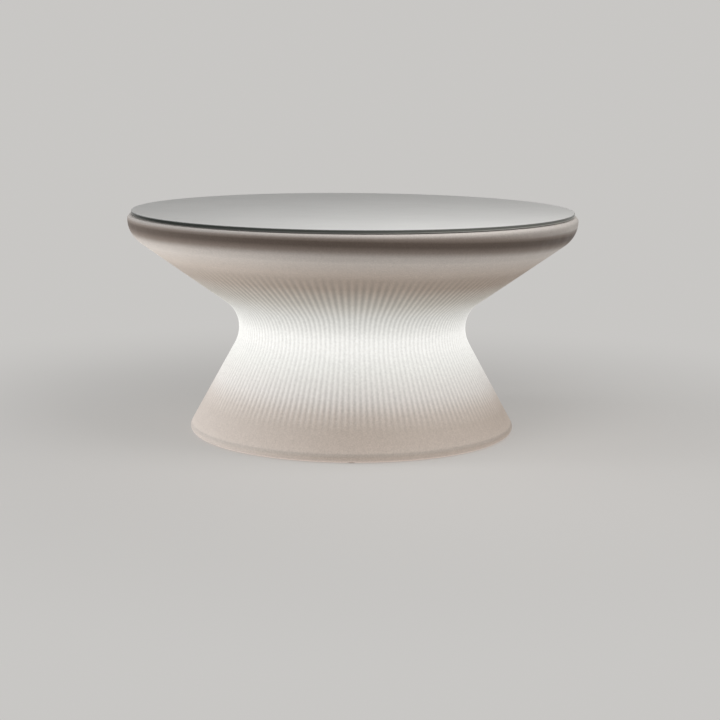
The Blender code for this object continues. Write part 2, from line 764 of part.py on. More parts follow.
def make_battery(tray_finish, cell_finish):
    """The open tray, its lid and the round cells that lie in it side by side."""
    length = holder_length()
    width = holder_width()
    inner_length = length - 2 * HOLDER_WALL
    inner_width = width - 2 * HOLDER_WALL
    outer = box_rows(length, width, UNIT_Z, holder_top(), HOLDER_CENTRE_X)
    inner = box_rows(inner_length, inner_width, UNIT_Z + HOLDER_WALL, holder_top(), HOLDER_CENTRE_X)
    solid("battery_holder", outer + inner[::-1], tray_finish)
    lid_z = holder_top() + SEAT_GAP
    lid_top = lid_z + LID_THICKNESS
    lid = box_rows(length, width, lid_z, lid_top - LID_EDGE, HOLDER_CENTRE_X)
    lid += box_rows(length - 2 * LID_EDGE, width - 2 * LID_EDGE, lid_top, lid_top, HOLDER_CENTRE_X)[:1]
    solid("battery_lid", lid, tray_finish)
    outline = [
        (CELL_RADIUS - CELL_EDGE, -CELL_LENGTH / 2),
        (CELL_RADIUS, CELL_EDGE - CELL_LENGTH / 2),
        (CELL_RADIUS, CELL_LENGTH / 2 - CELL_EDGE),
        (CELL_RADIUS - CELL_EDGE, CELL_LENGTH / 2),
    ]
    first = solid("battery_cell_1", rings(outline, SMALL_SIDES), cell_finish)
    height = UNIT_Z + HOLDER_WALL + SEAT_GAP + CELL_RADIUS
    for index in range(CELL_COUNT):
        cell = first if index == 0 else copy_of(first, f"battery_cell_{index + 1}")
        cell.location = (HOLDER_CENTRE_X + (index - (CELL_COUNT - 1) / 2) * cell_pitch(), 0, height)
        cell.rotation_euler = (math.pi / 2, 0, 0)


def board_z():
    """The height of the control board's lower face."""
    return PLATE_TOP + STUD_HEIGHT + SEAT_GAP


def board_top():
    """The height of the control board's upper face."""
    return board_z() + BOARD_THICKNESS


def plug_places():
    """The connectors on the board: for the battery, the lamp, the switch and the socket."""
    middle = board_centre_x()
    near = middle - BOARD_WIDTH / 2 + PLUG_LENGTH
    far_y = BOARD_LENGTH / 2 - PLUG_LENGTH - STUD_INSET
    return {
        "battery": (near, -PLUG_LENGTH),
        "lamp": (near, PLUG_LENGTH),
        "switch": (middle - PLUG_WIDTH, -far_y),
        "socket": (middle + PLUG_LENGTH, -far_y),
    }


def make_board(finish):
    """The control board with its coil, chip and connectors."""
    middle = board_centre_x()
    face = board_top()
    low = face - PART_SINK
    board = solid("control_board", box_rows(BOARD_WIDTH, BOARD_LENGTH, board_z(), face, middle), finish)
    chip_x = middle + CHIP_SIDE / 2
    sets = [
        box_rows(COIL_SIDE, COIL_SIDE, low, face + COIL_HEIGHT, middle + COIL_SIDE, COIL_SIDE),
        box_rows(CHIP_SIDE, CHIP_SIDE, low, face + CHIP_HEIGHT, chip_x, -CHIP_SIDE / 2),
    ]
    for x, y in plug_places().values():
        sets.append(box_rows(PLUG_WIDTH, PLUG_LENGTH, low, face + PLUG_HEIGHT, x, y))
    combine(board, bodies("board_parts_guide", sets, finish), "UNION")


def post_top():
    """The height of the lamp post's upper end."""
    return UNIT_TOP + SEAT_GAP + POST_HEIGHT


def make_post(metal, board_finish):
    """The hollow six-sided post on its round foot, with the small board on top of it."""
    bottom = UNIT_TOP + SEAT_GAP
    foot_top = bottom + POST_FOOT_THICKNESS
    rows = [
        ring(POST_FOOT_RADIUS, bottom, LAMP_SIDES),
        ring(POST_FOOT_RADIUS, foot_top, LAMP_SIDES),
        ring(POST_RADIUS, foot_top, SCREW_SIDES, 6),
        ring(POST_RADIUS, post_top(), SCREW_SIDES, 6),
        ring(POST_BORE, post_top(), SCREW_SIDES),
        ring(POST_BORE, bottom, SCREW_SIDES),
    ]
    solid("lamp_post", rows, metal, closed=True)
    low = post_top() + SEAT_GAP
    board = [(POST_RADIUS, low), (POST_RADIUS, low + POST_BOARD_THICKNESS)]
    solid("post_board", rings(board, SCREW_SIDES), board_finish)


def make_strips(finish):
    """LED strips on every other side of the post, each with its row of chips."""
    bottom = UNIT_TOP + SEAT_GAP + POST_FOOT_THICKNESS + STRIP_FOOT
    top = post_top() - STRIP_HEAD
    flat = POST_RADIUS * math.cos(math.pi / 6) + SEAT_GAP
    middle = flat + STRIP_THICKNESS / 2
    face = flat + STRIP_THICKNESS
    chip_middle = face + LED_HEIGHT / 2 - LED_SINK / 2
    pitch = (top - bottom) / LED_COUNT
    for index in range(STRIP_COUNT):
        rows = box_rows(STRIP_THICKNESS, STRIP_WIDTH, bottom, top, middle)
        strip = solid(f"led_strip_{index + 1}", rows, finish)
        chips = []
        for count in range(LED_COUNT):
            low = bottom + (count + 0.5) * pitch - LED_SIDE / 2
            chips.append(box_rows(LED_HEIGHT + LED_SINK, LED_SIDE, low, low + LED_SIDE, chip_middle))
        guide = bodies(f"led_guide_{index + 1}", chips, finish)
        combine(strip, guide, "UNION")
        turn = math.pi / 3 * 2 * index
        place(strip, (0, 0, 0), turn)
        place(guide, (0, 0, 0), turn)


def make_diffuser(finish, rubber, collar_finish):
    """The domed opal cover on its seal, held down by a collar on the housing's ring."""
    seal_z = UNIT_TOP + SEAT_GAP
    foot_radius = diffuser_foot_radius()
    foot_z = seal_z + SEAL_THICKNESS + SEAT_GAP
    foot_top = foot_z + DIFFUSER_FOOT_THICKNESS
    top = foot_z + DIFFUSER_HEIGHT
    inner_radius = DIFFUSER_RADIUS - DIFFUSER_WALL
    dome = (DIFFUSER_RADIUS - DIFFUSER_DOME, top - DIFFUSER_DOME)
    outline = arc(dome, DIFFUSER_DOME, math.pi / 2, 0, 5)
    outline += [(DIFFUSER_RADIUS, foot_top), (foot_radius, foot_top), (foot_radius, foot_z)]
    outline.append((inner_radius, foot_z))
    outline += arc(dome, DIFFUSER_DOME - DIFFUSER_WALL, 0, math.pi / 2, 3)
    solid("diffuser", rings(outline, LAMP_SIDES), finish)
    seal = [
        (foot_radius - SEAL_WIDTH, seal_z),
        (foot_radius, seal_z),
        (foot_radius, seal_z + SEAL_THICKNESS),
        (foot_radius - SEAL_WIDTH, seal_z + SEAL_THICKNESS),
    ]
    solid("diffuser_seal", rings(seal, LAMP_SIDES), rubber, closed=True)
    thread = ring_inner_radius() + RING_WALL + SEAT_GAP
    lip = DIFFUSER_RADIUS + COLLAR_CLEARANCE
    lip_z = max(foot_top, UNIT_TOP + RING_HEIGHT) + SEAT_GAP
    lip_top = lip_z + COLLAR_LIP_THICKNESS
    collar = [
        (thread, UNIT_TOP + SEAT_GAP),
        (thread + COLLAR_WALL, UNIT_TOP + SEAT_GAP),
        (thread + COLLAR_WALL, lip_top - COLLAR_EDGE),
        (thread + COLLAR_WALL - COLLAR_EDGE, lip_top),
        (lip, lip_top),
        (lip, lip_z),
        (thread, lip_z),
    ]
    solid("diffuser_collar", rings(collar, UNIT_SIDES), collar_finish, closed=True)


def bezel_radius():
    """The outer radius of the button bezel's barrel."""
    return BUTTON_RADIUS + BUTTON_FLANGE + SLIDE_GAP + BEZEL_WALL


def hex_nut(name, bore, finish):
    """A six-sided nut on the plate's upper face."""
    outer = bore + NUT_WALL
    rows = [
        ring(outer, 0, SCREW_SIDES, 6),
        ring(outer, NUT_THICKNESS, SCREW_SIDES, 6),
        ring(bore, NUT_THICKNESS, SCREW_SIDES),
        ring(bore, 0, SCREW_SIDES),
    ]
    return solid(name, rows, finish, closed=True)


def make_button(metal, cap_finish, switch_finish):
    """The push button in its bezel, the bezel's nut and the switch above the button."""
    spot = polar(CONTROL_CIRCLE, BUTTON_ANGLE)
    at_plate = spot + Vector((0, 0, PLATE_Z))
    flange_top = -SEAT_GAP
    face = flange_top - BEZEL_FLANGE_THICKNESS
    shoulder = face + BEZEL_SHOULDER
    barrel_top = PLATE_THICKNESS + BEZEL_RISE
    small_bore = BUTTON_RADIUS + SLIDE_GAP
    large_bore = BUTTON_RADIUS + BUTTON_FLANGE + SLIDE_GAP
    barrel = bezel_radius()
    bezel = [
        (small_bore, face),
        (barrel + BEZEL_FLANGE - BEZEL_EDGE, face),
        (barrel + BEZEL_FLANGE, face + BEZEL_EDGE),
        (barrel + BEZEL_FLANGE, flange_top),
        (barrel, flange_top),
        (barrel, barrel_top),
        (large_bore, barrel_top),
        (large_bore, shoulder),
        (small_bore, shoulder),
    ]
    place(solid("button_bezel", rings(bezel, SMALL_SIDES), metal, closed=True), at_plate)
    nut = hex_nut("bezel_nut", barrel + SEAT_GAP, metal)
    place(nut, spot + Vector((0, 0, PLATE_TOP + SEAT_GAP)))
    bottom = face - BUTTON_PROUD
    flange_low = shoulder + SEAT_GAP
    flange_high = flange_low + BUTTON_FLANGE_THICKNESS
    stem_top = flange_high + BUTTON_STEM_LENGTH
    button = [
        (BUTTON_RADIUS - BUTTON_EDGE, bottom),
        (BUTTON_RADIUS, bottom + BUTTON_EDGE),
        (BUTTON_RADIUS, flange_low),
        (BUTTON_RADIUS + BUTTON_FLANGE, flange_low),
        (BUTTON_RADIUS + BUTTON_FLANGE, flange_high),
        (BUTTON_STEM_RADIUS, flange_high),
        (BUTTON_STEM_RADIUS, stem_top),
    ]
    place(solid("push_button", rings(button, SMALL_SIDES), cap_finish), at_plate)
    well = BUTTON_STEM_RADIUS + SLIDE_GAP
    switch_low = flange_high + BUTTON_TRAVEL + SLIDE_GAP
    well_top = stem_top + BUTTON_TRAVEL + SLIDE_GAP
    cap_low = barrel_top + SEAT_GAP
    cap_high = max(cap_low, well_top) + SWITCH_CAP_THICKNESS
    switch = [
        (well, well_top),
        (well, switch_low),
        (large_bore - SEAT_GAP, switch_low),
        (large_bore - SEAT_GAP, cap_low),
        (barrel, cap_low),
        (barrel, cap_high),
    ]
    place(solid("switch_body", rings(switch, SMALL_SIDES), switch_finish), at_plate)
    return spot + Vector((0, 0, PLATE_Z + cap_high))


def socket_radius():
    """The outer radius of the charging socket's barrel."""
    return SOCKET_BORE + SOCKET_WALL


def tabbed_disc(radius, tab_end, height, steps=20):
    """A ring of points round a disc with a square tab towards +X, whose end is at tab_end."""
    half = CAP_TAB_WIDTH / 2
    opening = math.asin(half / radius)
    points = [(tab_end, -half, height), (tab_end, half, height)]
    for step in range(steps + 1):
        angle = opening + (2 * math.pi - 2 * opening) * step / steps
        points.append((radius * math.cos(angle), radius * math.sin(angle), height))
    return points


def make_socket(metal, rubber):
    """The charging socket, its nut, and the rubber cap on its anchor."""
    spot = polar(CONTROL_CIRCLE, SOCKET_ANGLE)
    carrier = bpy.data.objects.new("socket_axis", None)
    bpy.context.collection.objects.link(carrier)
    place(carrier, spot + Vector((0, 0, PLATE_Z)), SOCKET_ANGLE)
    barrel = socket_radius()
    anchor_top = -SEAT_GAP
    anchor_low = anchor_top - ANCHOR_THICKNESS
    flange_top = anchor_low - SEAT_GAP
    mouth = flange_top - SOCKET_FLANGE_THICKNESS
    cap_top = mouth - SEAT_GAP
    cap_low = cap_top - CAP_THICKNESS
    barrel_top = PLATE_THICKNESS + SOCKET_RISE
    socket_outline = [
        (SOCKET_PIN_RADIUS, mouth + SOCKET_PIN_INSET),
        (SOCKET_PIN_RADIUS, mouth + SOCKET_DEPTH),
        (SOCKET_BORE, mouth + SOCKET_DEPTH),
        (SOCKET_BORE, mouth),
        (barrel + SOCKET_FLANGE, mouth),
        (barrel + SOCKET_FLANGE, flange_top),
        (barrel, flange_top),
        (barrel, barrel_top),
    ]
    socket = solid("charging_socket", rings(socket_outline, SMALL_SIDES), metal)
    nut = hex_nut("socket_nut", barrel + SEAT_GAP, metal)
    nut.location = (0, 0, PLATE_THICKNESS + SEAT_GAP)
    disc = barrel + SOCKET_FLANGE + CAP_MARGIN
    hinge_x = disc + CAP_TAB_LENGTH
    anchor = solid(
        "cap_anchor",
        [tabbed_disc(disc, hinge_x, anchor_low), tabbed_disc(disc, hinge_x, anchor_top)],
        rubber,
    )
    block_x = hinge_x - ANCHOR_BLOCK_LENGTH / 2
    block_length = ANCHOR_BLOCK_LENGTH - 2 * SEAT_GAP
    block_width = CAP_TAB_WIDTH - 2 * SEAT_GAP
    block_rows = box_rows(block_length, block_width, mouth, anchor_top - SEAT_GAP, block_x)
    block = bodies("anchor_block_guide", [block_rows], rubber)
    combine(anchor, block, "UNION")
    bore_radius = barrel + SEAT_GAP
    bore_ends = [(bore_radius, anchor_low - CUT_OVERRUN), (bore_radius, CUT_OVERRUN)]
    bore = bodies("anchor_cutter", [rings(bore_ends, SMALL_SIDES)], rubber)
    combine(anchor, bore, "DIFFERENCE")
    hinge = bpy.data.objects.new("cap_hinge_axis", None)
    bpy.context.collection.objects.link(hinge)
    hinge.location = (hinge_x, 0, cap_top)
    cap_rows = [
        [(x - hinge_x, y, z - cap_top) for x, y, z in tabbed_disc(disc, hinge_x, height)]
        for height in (cap_low, cap_top)
    ]
    cap = solid("socket_cap", cap_rows, rubber)
    nub_radius = SOCKET_BORE - CAP_NUB_PLAY
    nub = pegs("cap_nub_guide", [(-hinge_x, 0)], nub_radius, -CAP_NUB_SINK, CAP_NUB_LENGTH, rubber)
    combine(cap, nub, "UNION")
    for piece in (cap, nub):
        piece.parent = hinge
    for piece in (socket, nut, anchor, block, bore, hinge):
        piece.parent = carrier
    return spot + Vector((0, 0, PLATE_Z + barrel_top))


def make_window(finish):
    """The lens over the charge light and the remote receiver."""
    seat = -SEAT_GAP
    outline = [
        (WINDOW_RADIUS - WINDOW_EDGE, seat - WINDOW_PROUD),
        (WINDOW_RADIUS, seat - WINDOW_PROUD + WINDOW_EDGE),
        (WINDOW_RADIUS, seat),
        (WINDOW_STEM_RADIUS, seat),
        (WINDOW_STEM_RADIUS, PLATE_THICKNESS + WINDOW_STEM_RISE),
    ]
    lens = solid("signal_window", rings(outline, SMALL_SIDES), finish)
    place(lens, polar(CONTROL_CIRCLE, WINDOW_ANGLE) + Vector((0, 0, PLATE_Z)))


def mix(first, second, low, high, at):
    """The point at a place on the way from one point, at low, to another, at high."""
    return first + (second - first) * ((at - low) / (high - low))


def smooth_route(points, steps):
    """A smooth curve through the points: a centripetal Catmull-Rom spline."""
    guides = [points[0] * 2 - points[1], *points, points[-1] * 2 - points[-2]]
    route = []
    for four in zip(guides, guides[1:], guides[2:], guides[3:]):
        knots = [0.0]
        for start, end in zip(four, four[1:]):
            knots.append(knots[-1] + math.sqrt((end - start).length))
        for step in range(steps):
            at = knots[1] + (knots[2] - knots[1]) * step / steps
            outer = [mix(four[i], four[i + 1], knots[i], knots[i + 1], at) for i in range(3)]
            inner = [mix(outer[i], outer[i + 1], knots[i], knots[i + 2], at) for i in range(2)]
            route.append(mix(inner[0], inner[1], knots[1], knots[2], at))
    route.append(points[-1])
    return route


def make_lead(name, start, start_way, between, end, end_way, finish):
    """A round lead that leaves start and reaches end straight, along the two ways given."""
    run = 2 * LEAD_RADIUS
    points = [start, start + start_way * run, *between, end - end_way * run, end]
    route = smooth_route(points, LEAD_STEPS)
    curve = bpy.data.curves.new(name, "CURVE")
    curve.dimensions = "3D"
    curve.bevel_depth = LEAD_RADIUS
    curve.bevel_resolution = 2
    curve.use_fill_caps = True
    spline = curve.splines.new("POLY")
    spline.points.add(len(route) - 1)
    for point, spot in zip(spline.points, route):
        point.co = (*spot, 1)
    curve.materials.append(finish)
    made = bpy.data.objects.new(name, curve)
    bpy.context.collection.objects.link(made)


def above(spot, height):
    """The same place at another height."""
    return Vector((spot[0], spot[1], height))


def make_leads(switch_end, socket_end, finish):
    """The leads from the battery, the lamp, the switch and the socket to the board's connectors."""
    up = Vector((0, 0, 1))
    down = Vector((0, 0, -1))
    plug_top = board_top() + PLUG_HEIGHT + SEAT_GAP
    plugs = {name: Vector((*spot, plug_top)) for name, spot in plug_places().items()}
    holder_face = HOLDER_CENTRE_X + holder_length() / 2 + SEAT_GAP
    battery = plugs["battery"]
    start = Vector((holder_face, battery.y, holder_top() - LEAD_CLEARANCE))
    make_lead("battery_lead", start, Vector((1, 0, 0)), [], battery, down, finish)
    lamp = plugs["lamp"]
    low = holder_top() + LID_THICKNESS + LEAD_CLEARANCE + LEAD_RADIUS
    between = [
        above(lamp / 2, low),
        Vector((0, 0, CEILING_Z)),
        Vector((0, 0, UNIT_TOP + LEAD_REACH)),
        Vector((0, 0, (UNIT_TOP + post_top()) / 2)),
    ]
    make_lead("lamp_lead", lamp, up, between, Vector((0, 0, post_top())), up, finish)
    controls = (
        ("switch_lead", switch_end, BUTTON_ANGLE, WALL_HOLE_RISE, plugs["switch"]),
        ("socket_lead", socket_end, SOCKET_ANGLE, WALL_HOLE_RISE + SECOND_HOLE_LIFT, plugs["socket"]),
    )
    for name, end, angle, rise, plug in controls:
        height = UNIT_Z + rise
        foot = above(end, end.z + SEAT_GAP)
        wall = above(polar(UNIT_RADIUS - UNIT_WALL / 2, angle), height)
        inside = above(polar(UNIT_RADIUS - LEAD_REACH * 2, angle), height)
        corner = above((plug.x, (inside.y + plug.y) / 2), height)
        make_lead(name, foot, up, [wall, inside, corner], plug, down, finish)


def make_table():
    """Every piece of the table, with its finish."""
    for old in list(bpy.data.objects):
        bpy.data.objects.remove(old)
    moulding = material("moulding", (0.86, 0.82, 0.78), 0.55)
    glass = material("satin_glass", (0.60, 0.61, 0.60), 0.35)
    clear = material("clear_silicone", (0.80, 0.80, 0.78), 0.4)
    rubber = material("black_rubber", (0.03, 0.03, 0.03), 0.8)
    plug = material("grey_plastic", (0.45, 0.45, 0.45), 0.5)
    aluminium = material("aluminium", (0.72, 0.73, 0.74), 0.35, 1.0)
    steel = material("steel", (0.62, 0.62, 0.62), 0.3, 1.0)
    brass = material("brass", (0.72, 0.52, 0.22), 0.35, 1.0)
    white = material("white_plastic", (0.82, 0.82, 0.80), 0.45)
    tray = material("black_plastic", (0.05, 0.05, 0.05), 0.5)
    sleeve = material("cell_sleeve", (0.10, 0.32, 0.50), 0.4)
    board = material("circuit_board", (0.02, 0.18, 0.08), 0.45)
    led_board = material("led_board", (0.85, 0.84, 0.76), 0.4)
    opal = material("opal_diffuser", (0.88, 0.88, 0.86), 0.4)
    lens = material("lens", (0.20, 0.05, 0.05), 0.2)
    insulation = material("lead_insulation", (0.04, 0.04, 0.04), 0.5)
    make_body(moulding)
    make_vent_plug(plug)
    make_glass(glass)
    make_pads(clear)
    make_glides(rubber)
    make_plate(aluminium)
    make_gasket(rubber)
    make_screws(steel)
    make_inserts(brass)
    make_housing(white)
    make_housing_screws(steel)
    make_battery(tray, sleeve)
    make_board(board)
    make_post(aluminium, board)
    make_strips(led_board)
    make_diffuser(opal, rubber, white)
    switch_end = make_button(steel, tray, tray)
    socket_end = make_socket(steel, rubber)
    make_window(lens)
    make_leads(switch_end, socket_end, insulation)


make_table()
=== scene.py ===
"""The looks of the illuminated lounge coffee table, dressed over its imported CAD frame.

Metres, +Z up, front towards -Y. The fluted moulding, the glass and the service plate are
rebuilt as fine surfaces; every other piece is the CAD node with a finish of its own.
"""

import math

import bpy
import numpy as np
from mathutils import Matrix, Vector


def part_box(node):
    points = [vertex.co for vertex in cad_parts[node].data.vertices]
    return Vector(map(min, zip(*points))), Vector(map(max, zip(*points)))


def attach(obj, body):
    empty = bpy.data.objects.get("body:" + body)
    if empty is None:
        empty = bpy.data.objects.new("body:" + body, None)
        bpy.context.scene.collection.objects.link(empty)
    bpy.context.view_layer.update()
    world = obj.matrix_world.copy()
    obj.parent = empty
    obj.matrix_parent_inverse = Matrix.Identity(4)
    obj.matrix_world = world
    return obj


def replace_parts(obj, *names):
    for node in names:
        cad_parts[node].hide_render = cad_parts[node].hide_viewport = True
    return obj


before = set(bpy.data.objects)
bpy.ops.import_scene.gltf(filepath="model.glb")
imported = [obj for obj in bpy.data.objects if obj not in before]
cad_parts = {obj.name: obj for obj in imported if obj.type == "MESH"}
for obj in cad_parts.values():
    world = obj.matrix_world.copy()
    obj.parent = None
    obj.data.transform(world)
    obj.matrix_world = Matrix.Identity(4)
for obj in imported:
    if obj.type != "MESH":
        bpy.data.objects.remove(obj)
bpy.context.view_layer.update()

# Table height and glass disc; the shares place the rings of its face, edge and back
TABLE_HEIGHT = 0.4263
GLASS_RADIUS = 0.420
GLASS_THICKNESS = 0.006
GLASS_LOW = TABLE_HEIGHT - GLASS_THICKNESS
GLASS_ARRIS = 0.0007
ARRIS_STEPS = 4
GLASS_CORE = 0.10
GLASS_COLUMNS = 360
GLASS_FACE_SHARES = (0.0, 0.4, 0.75, 0.97)
GLASS_EDGE_SHARES = (0.33, 0.67)
GLASS_BACK_SHARES = (0.03, 0.5, 1.0)

# Section of the moulding
LAND_Z = 0.4187
FOOT_Z = 0.0015
WALL = 0.005
RIM_RADIUS = 0.4273
RIM_NOSE_RADIUS = 0.008
RIM_UNDER_RADIUS = 0.0515
WAIST_RADIUS = 0.2178
WAIST_HEIGHT = 0.2022
WAIST_UPPER_RADIUS = 0.0626
WAIST_LOWER_RADIUS = 0.0714
TOE_RADIUS = 0.010
FOOT_OUTER = 0.3013
FOOT_INNER = 0.2773
FOOT_FILLET = 0.008
RECESS_RADIUS = 0.2533
RECESS_HEIGHT = 0.030
RECESS_FILLET = 0.012
SERVICE_RADIUS = 0.115

# Rings of the moulding's surface: steps in each arc, heights on the straight walls,
# shares of the way across the flat parts, and the innermost rings
FINE_STEPS = {"nose": 8, "under": 11, "upper": 9, "lower": 7, "toe": 6, "foot": 4, "recess": 4}
INNER_STEPS = {"nose": 3, "under": 4, "upper": 4, "lower": 3, "toe": 3, "foot": 2, "recess": 2}
UPPER_WALL_HEIGHTS = (0.352, 0.340, 0.335, 0.330, 0.325, 0.320, 0.315, 0.300, 0.285, 0.270)
LOWER_WALL_HEIGHTS = (
    0.150, 0.130, 0.110, 0.092, 0.082, 0.075, 0.070, 0.064, 0.058, 0.053, 0.050, 0.040, 0.028,
)
RECESS_SHARES = (0.3, 0.7)
TOP_SHARES = (0.0, 0.3, 0.6, 0.85)
ROOF_SHARES = (0.5, 1.0)
TOP_CORE = 0.06
ROOF_CORE = 0.10

# Flutes of the waist
FLUTE_COUNT = 156
FLUTE_DEPTH = 0.0009
FLUTE_TOP = 0.335
FLUTE_FOOT = 0.050
FLUTE_TOP_FADE = 0.020
FLUTE_FOOT_FADE = 0.025
COLUMNS_PER_FLUTE = 5

# Bosses, insert holes and vent hole in the underside
BOSS_COUNT = 4
BOSS_ANGLE = math.radians(45)
BOSS_CIRCLE = 0.1265
BOSS_RADIUS = 0.0075
BOSS_FOOT = 0.033
BOSS_TOP = 0.0413
INSERT_HOLE = 0.0039
INSERT_TOP = 0.0393
VENT_ANGLE = math.radians(90)
VENT_CIRCLE = 0.200
VENT_RADIUS = 0.005
VENT_TOP = 0.037
CUT_FOOT = 0.028

# Service plate under the opening, its studs for the board and the holes through it; the
# holes for the controls are given by name, angle in degrees and radius
PLATE_RADIUS = 0.138
PLATE_LOW = 0.0249
PLATE_TOP = 0.0279
PLATE_EDGE = 0.0006
PLATE_CORE = 0.06
PLATE_COLUMNS = 180
STUD_RADIUS = 0.0025
STUD_TOP = 0.0339
STUD_SINK = 0.001
STUD_REACH_X = 0.021
STUD_REACH_Y = 0.025
SCREW_HOLE = 0.0024
HOUSING_SCREWS = 3
HOUSING_CIRCLE = 0.084
HOUSING_HOLE = 0.0019
CONTROL_CIRCLE = 0.1025
CONTROL_HOLES = (("button", -90, 0.0085), ("socket", -113, 0.0056), ("window", -69, 0.0034))
CUT_OVERRUN = 0.002

# Sides of the round pegs and holes, and the angle above which an edge is drawn sharp
PEG_SIDES = 24
SHARP_ANGLE = math.radians(38)


# ---------------------------------------------------------------- shapes


def arc(centre, radius, start, end, steps):
    """Points (radius, height) of an arc: centre + radius * (cos, sin) of evenly spaced angles."""
    angles = np.linspace(start, end, steps + 1)
    return np.stack([centre[0] + radius * np.cos(angles), centre[1] + radius * np.sin(angles)], 1)


def line(first, last, shares):
    """Points on the straight line first + (last - first) * share, for each share given."""
    first, last = np.asarray(first), np.asarray(last)
    return first + (last - first) * np.asarray(shares)[:, None]


def line_at(first, last, heights):
    """Points at the given heights on the straight line from first to last."""
    return line(first, last, (np.asarray(heights) - first[1]) / (last[1] - first[1]))


def wall_angle(convex, convex_radius, hollow, hollow_radius, side):
    """Outward normal of the straight wall tangent to a convex and a hollow arc:
    the angle of the line of centres plus or minus acos(sum of radii / distance)."""
    across, up = hollow[0] - convex[0], hollow[1] - convex[1]
    distance = math.hypot(across, up)
    return math.atan2(up, across) + side * math.acos((convex_radius + hollow_radius) / distance)


def body_arcs(depth, steps):
    """The arcs of the moulding's section at a depth under its outer face, from the top's edge
    over rim, waist, toe and foot ring to the recess. Neighbours are tangent or joined by a
    tangent wall; radii shrink by the depth where convex and grow by it where hollow."""
    nose = (RIM_RADIUS - RIM_NOSE_RADIUS, LAND_Z - RIM_NOSE_RADIUS)
    under = (RIM_RADIUS - RIM_UNDER_RADIUS, nose[1])
    upper = (WAIST_RADIUS + WAIST_UPPER_RADIUS, WAIST_HEIGHT)
    lower = (WAIST_RADIUS + WAIST_LOWER_RADIUS, WAIST_HEIGHT)
    toe = (FOOT_OUTER, FOOT_Z + TOE_RADIUS)
    foot = (FOOT_INNER, FOOT_Z + FOOT_FILLET)
    recess = (RECESS_RADIUS, RECESS_HEIGHT - RECESS_FILLET)
    a = wall_angle(under, RIM_UNDER_RADIUS, upper, WAIST_UPPER_RADIUS, 1)
    b = wall_angle(toe, TOE_RADIUS, lower, WAIST_LOWER_RADIUS, -1)
    c = wall_angle(foot, FOOT_FILLET, recess, RECESS_FILLET, 1)
    half, quarter = math.pi, math.pi / 2
    return {
        "nose": arc(nose, RIM_NOSE_RADIUS - depth, quarter, 0, steps["nose"]),
        "under": arc(under, RIM_UNDER_RADIUS - depth, 0, a, steps["under"])[1:],
        "upper": arc(upper, WAIST_UPPER_RADIUS + depth, a + half, half, steps["upper"]),
        "lower": arc(lower, WAIST_LOWER_RADIUS + depth, half, b + half, steps["lower"])[1:],
        "toe": arc(toe, TOE_RADIUS - depth, b, -quarter, steps["toe"]),
        "foot": arc(foot, FOOT_FILLET - depth, 3 * quarter, c, steps["foot"]),
        "recess": arc(recess, RECESS_FILLET + depth, c - half, quarter, steps["recess"]),
        "edge": np.array([[SERVICE_RADIUS, RECESS_HEIGHT + depth]]),
    }


def outer_section():
    """The outer face's section: its arcs, with rings on the straight walls between them, close
    together where the flutes fade, and across the flat of the recess."""
    arcs = body_arcs(0.0, FINE_STEPS)
    upper_wall = line_at(arcs["under"][-1], arcs["upper"][0], UPPER_WALL_HEIGHTS)
    lower_wall = line_at(arcs["lower"][-1], arcs["toe"][0], LOWER_WALL_HEIGHTS)
    flat = line(arcs["recess"][-1], arcs["edge"][0], RECESS_SHARES)
    return np.concatenate([
        arcs["nose"], arcs["under"], upper_wall, arcs["upper"], arcs["lower"], lower_wall,
        arcs["toe"], arcs["foot"], arcs["recess"], flat, arcs["edge"],
    ])


def smooth(share):
    """The smooth step 3s^2 - 2s^3 of a share held between 0 and 1."""
    share = np.clip(share, 0, 1)
    return share * share * (3 - 2 * share)


def flute_share(height):
    """How deep the flutes are at a height: a smooth step down from the top end times one up
    from the foot end."""
    top = smooth((FLUTE_TOP - height) / FLUTE_TOP_FADE)
    return top * smooth((height - FLUTE_FOOT) / FLUTE_FOOT_FADE)


def turned(section, columns, reach=0.0):
    """Rings of points for a section of (radius, height): column k stands at the angle
    2 pi k / columns from the front, at (r sin, -r cos, z). reach is taken off the radius."""
    angle = 2 * np.pi * np.arange(columns) / columns
    radius = np.broadcast_to(section[:, :1] - reach, (len(section), columns))
    height = np.broadcast_to(section[:, 1:], (len(section), columns))
    return np.stack([radius * np.sin(angle), -radius * np.cos(angle), height], 2)


def round_quads(count, columns):
    """Quads between rings of points: each joins a ring to the next one and a column to the next
    one round."""
    ring, column = np.meshgrid(np.arange(count - 1), np.arange(columns), indexing="ij")
    after = (column + 1) % columns
    return np.stack([
        ring * columns + column, (ring + 1) * columns + column,
        (ring + 1) * columns + after, ring * columns + after,
    ], 2).reshape(-1, 4)


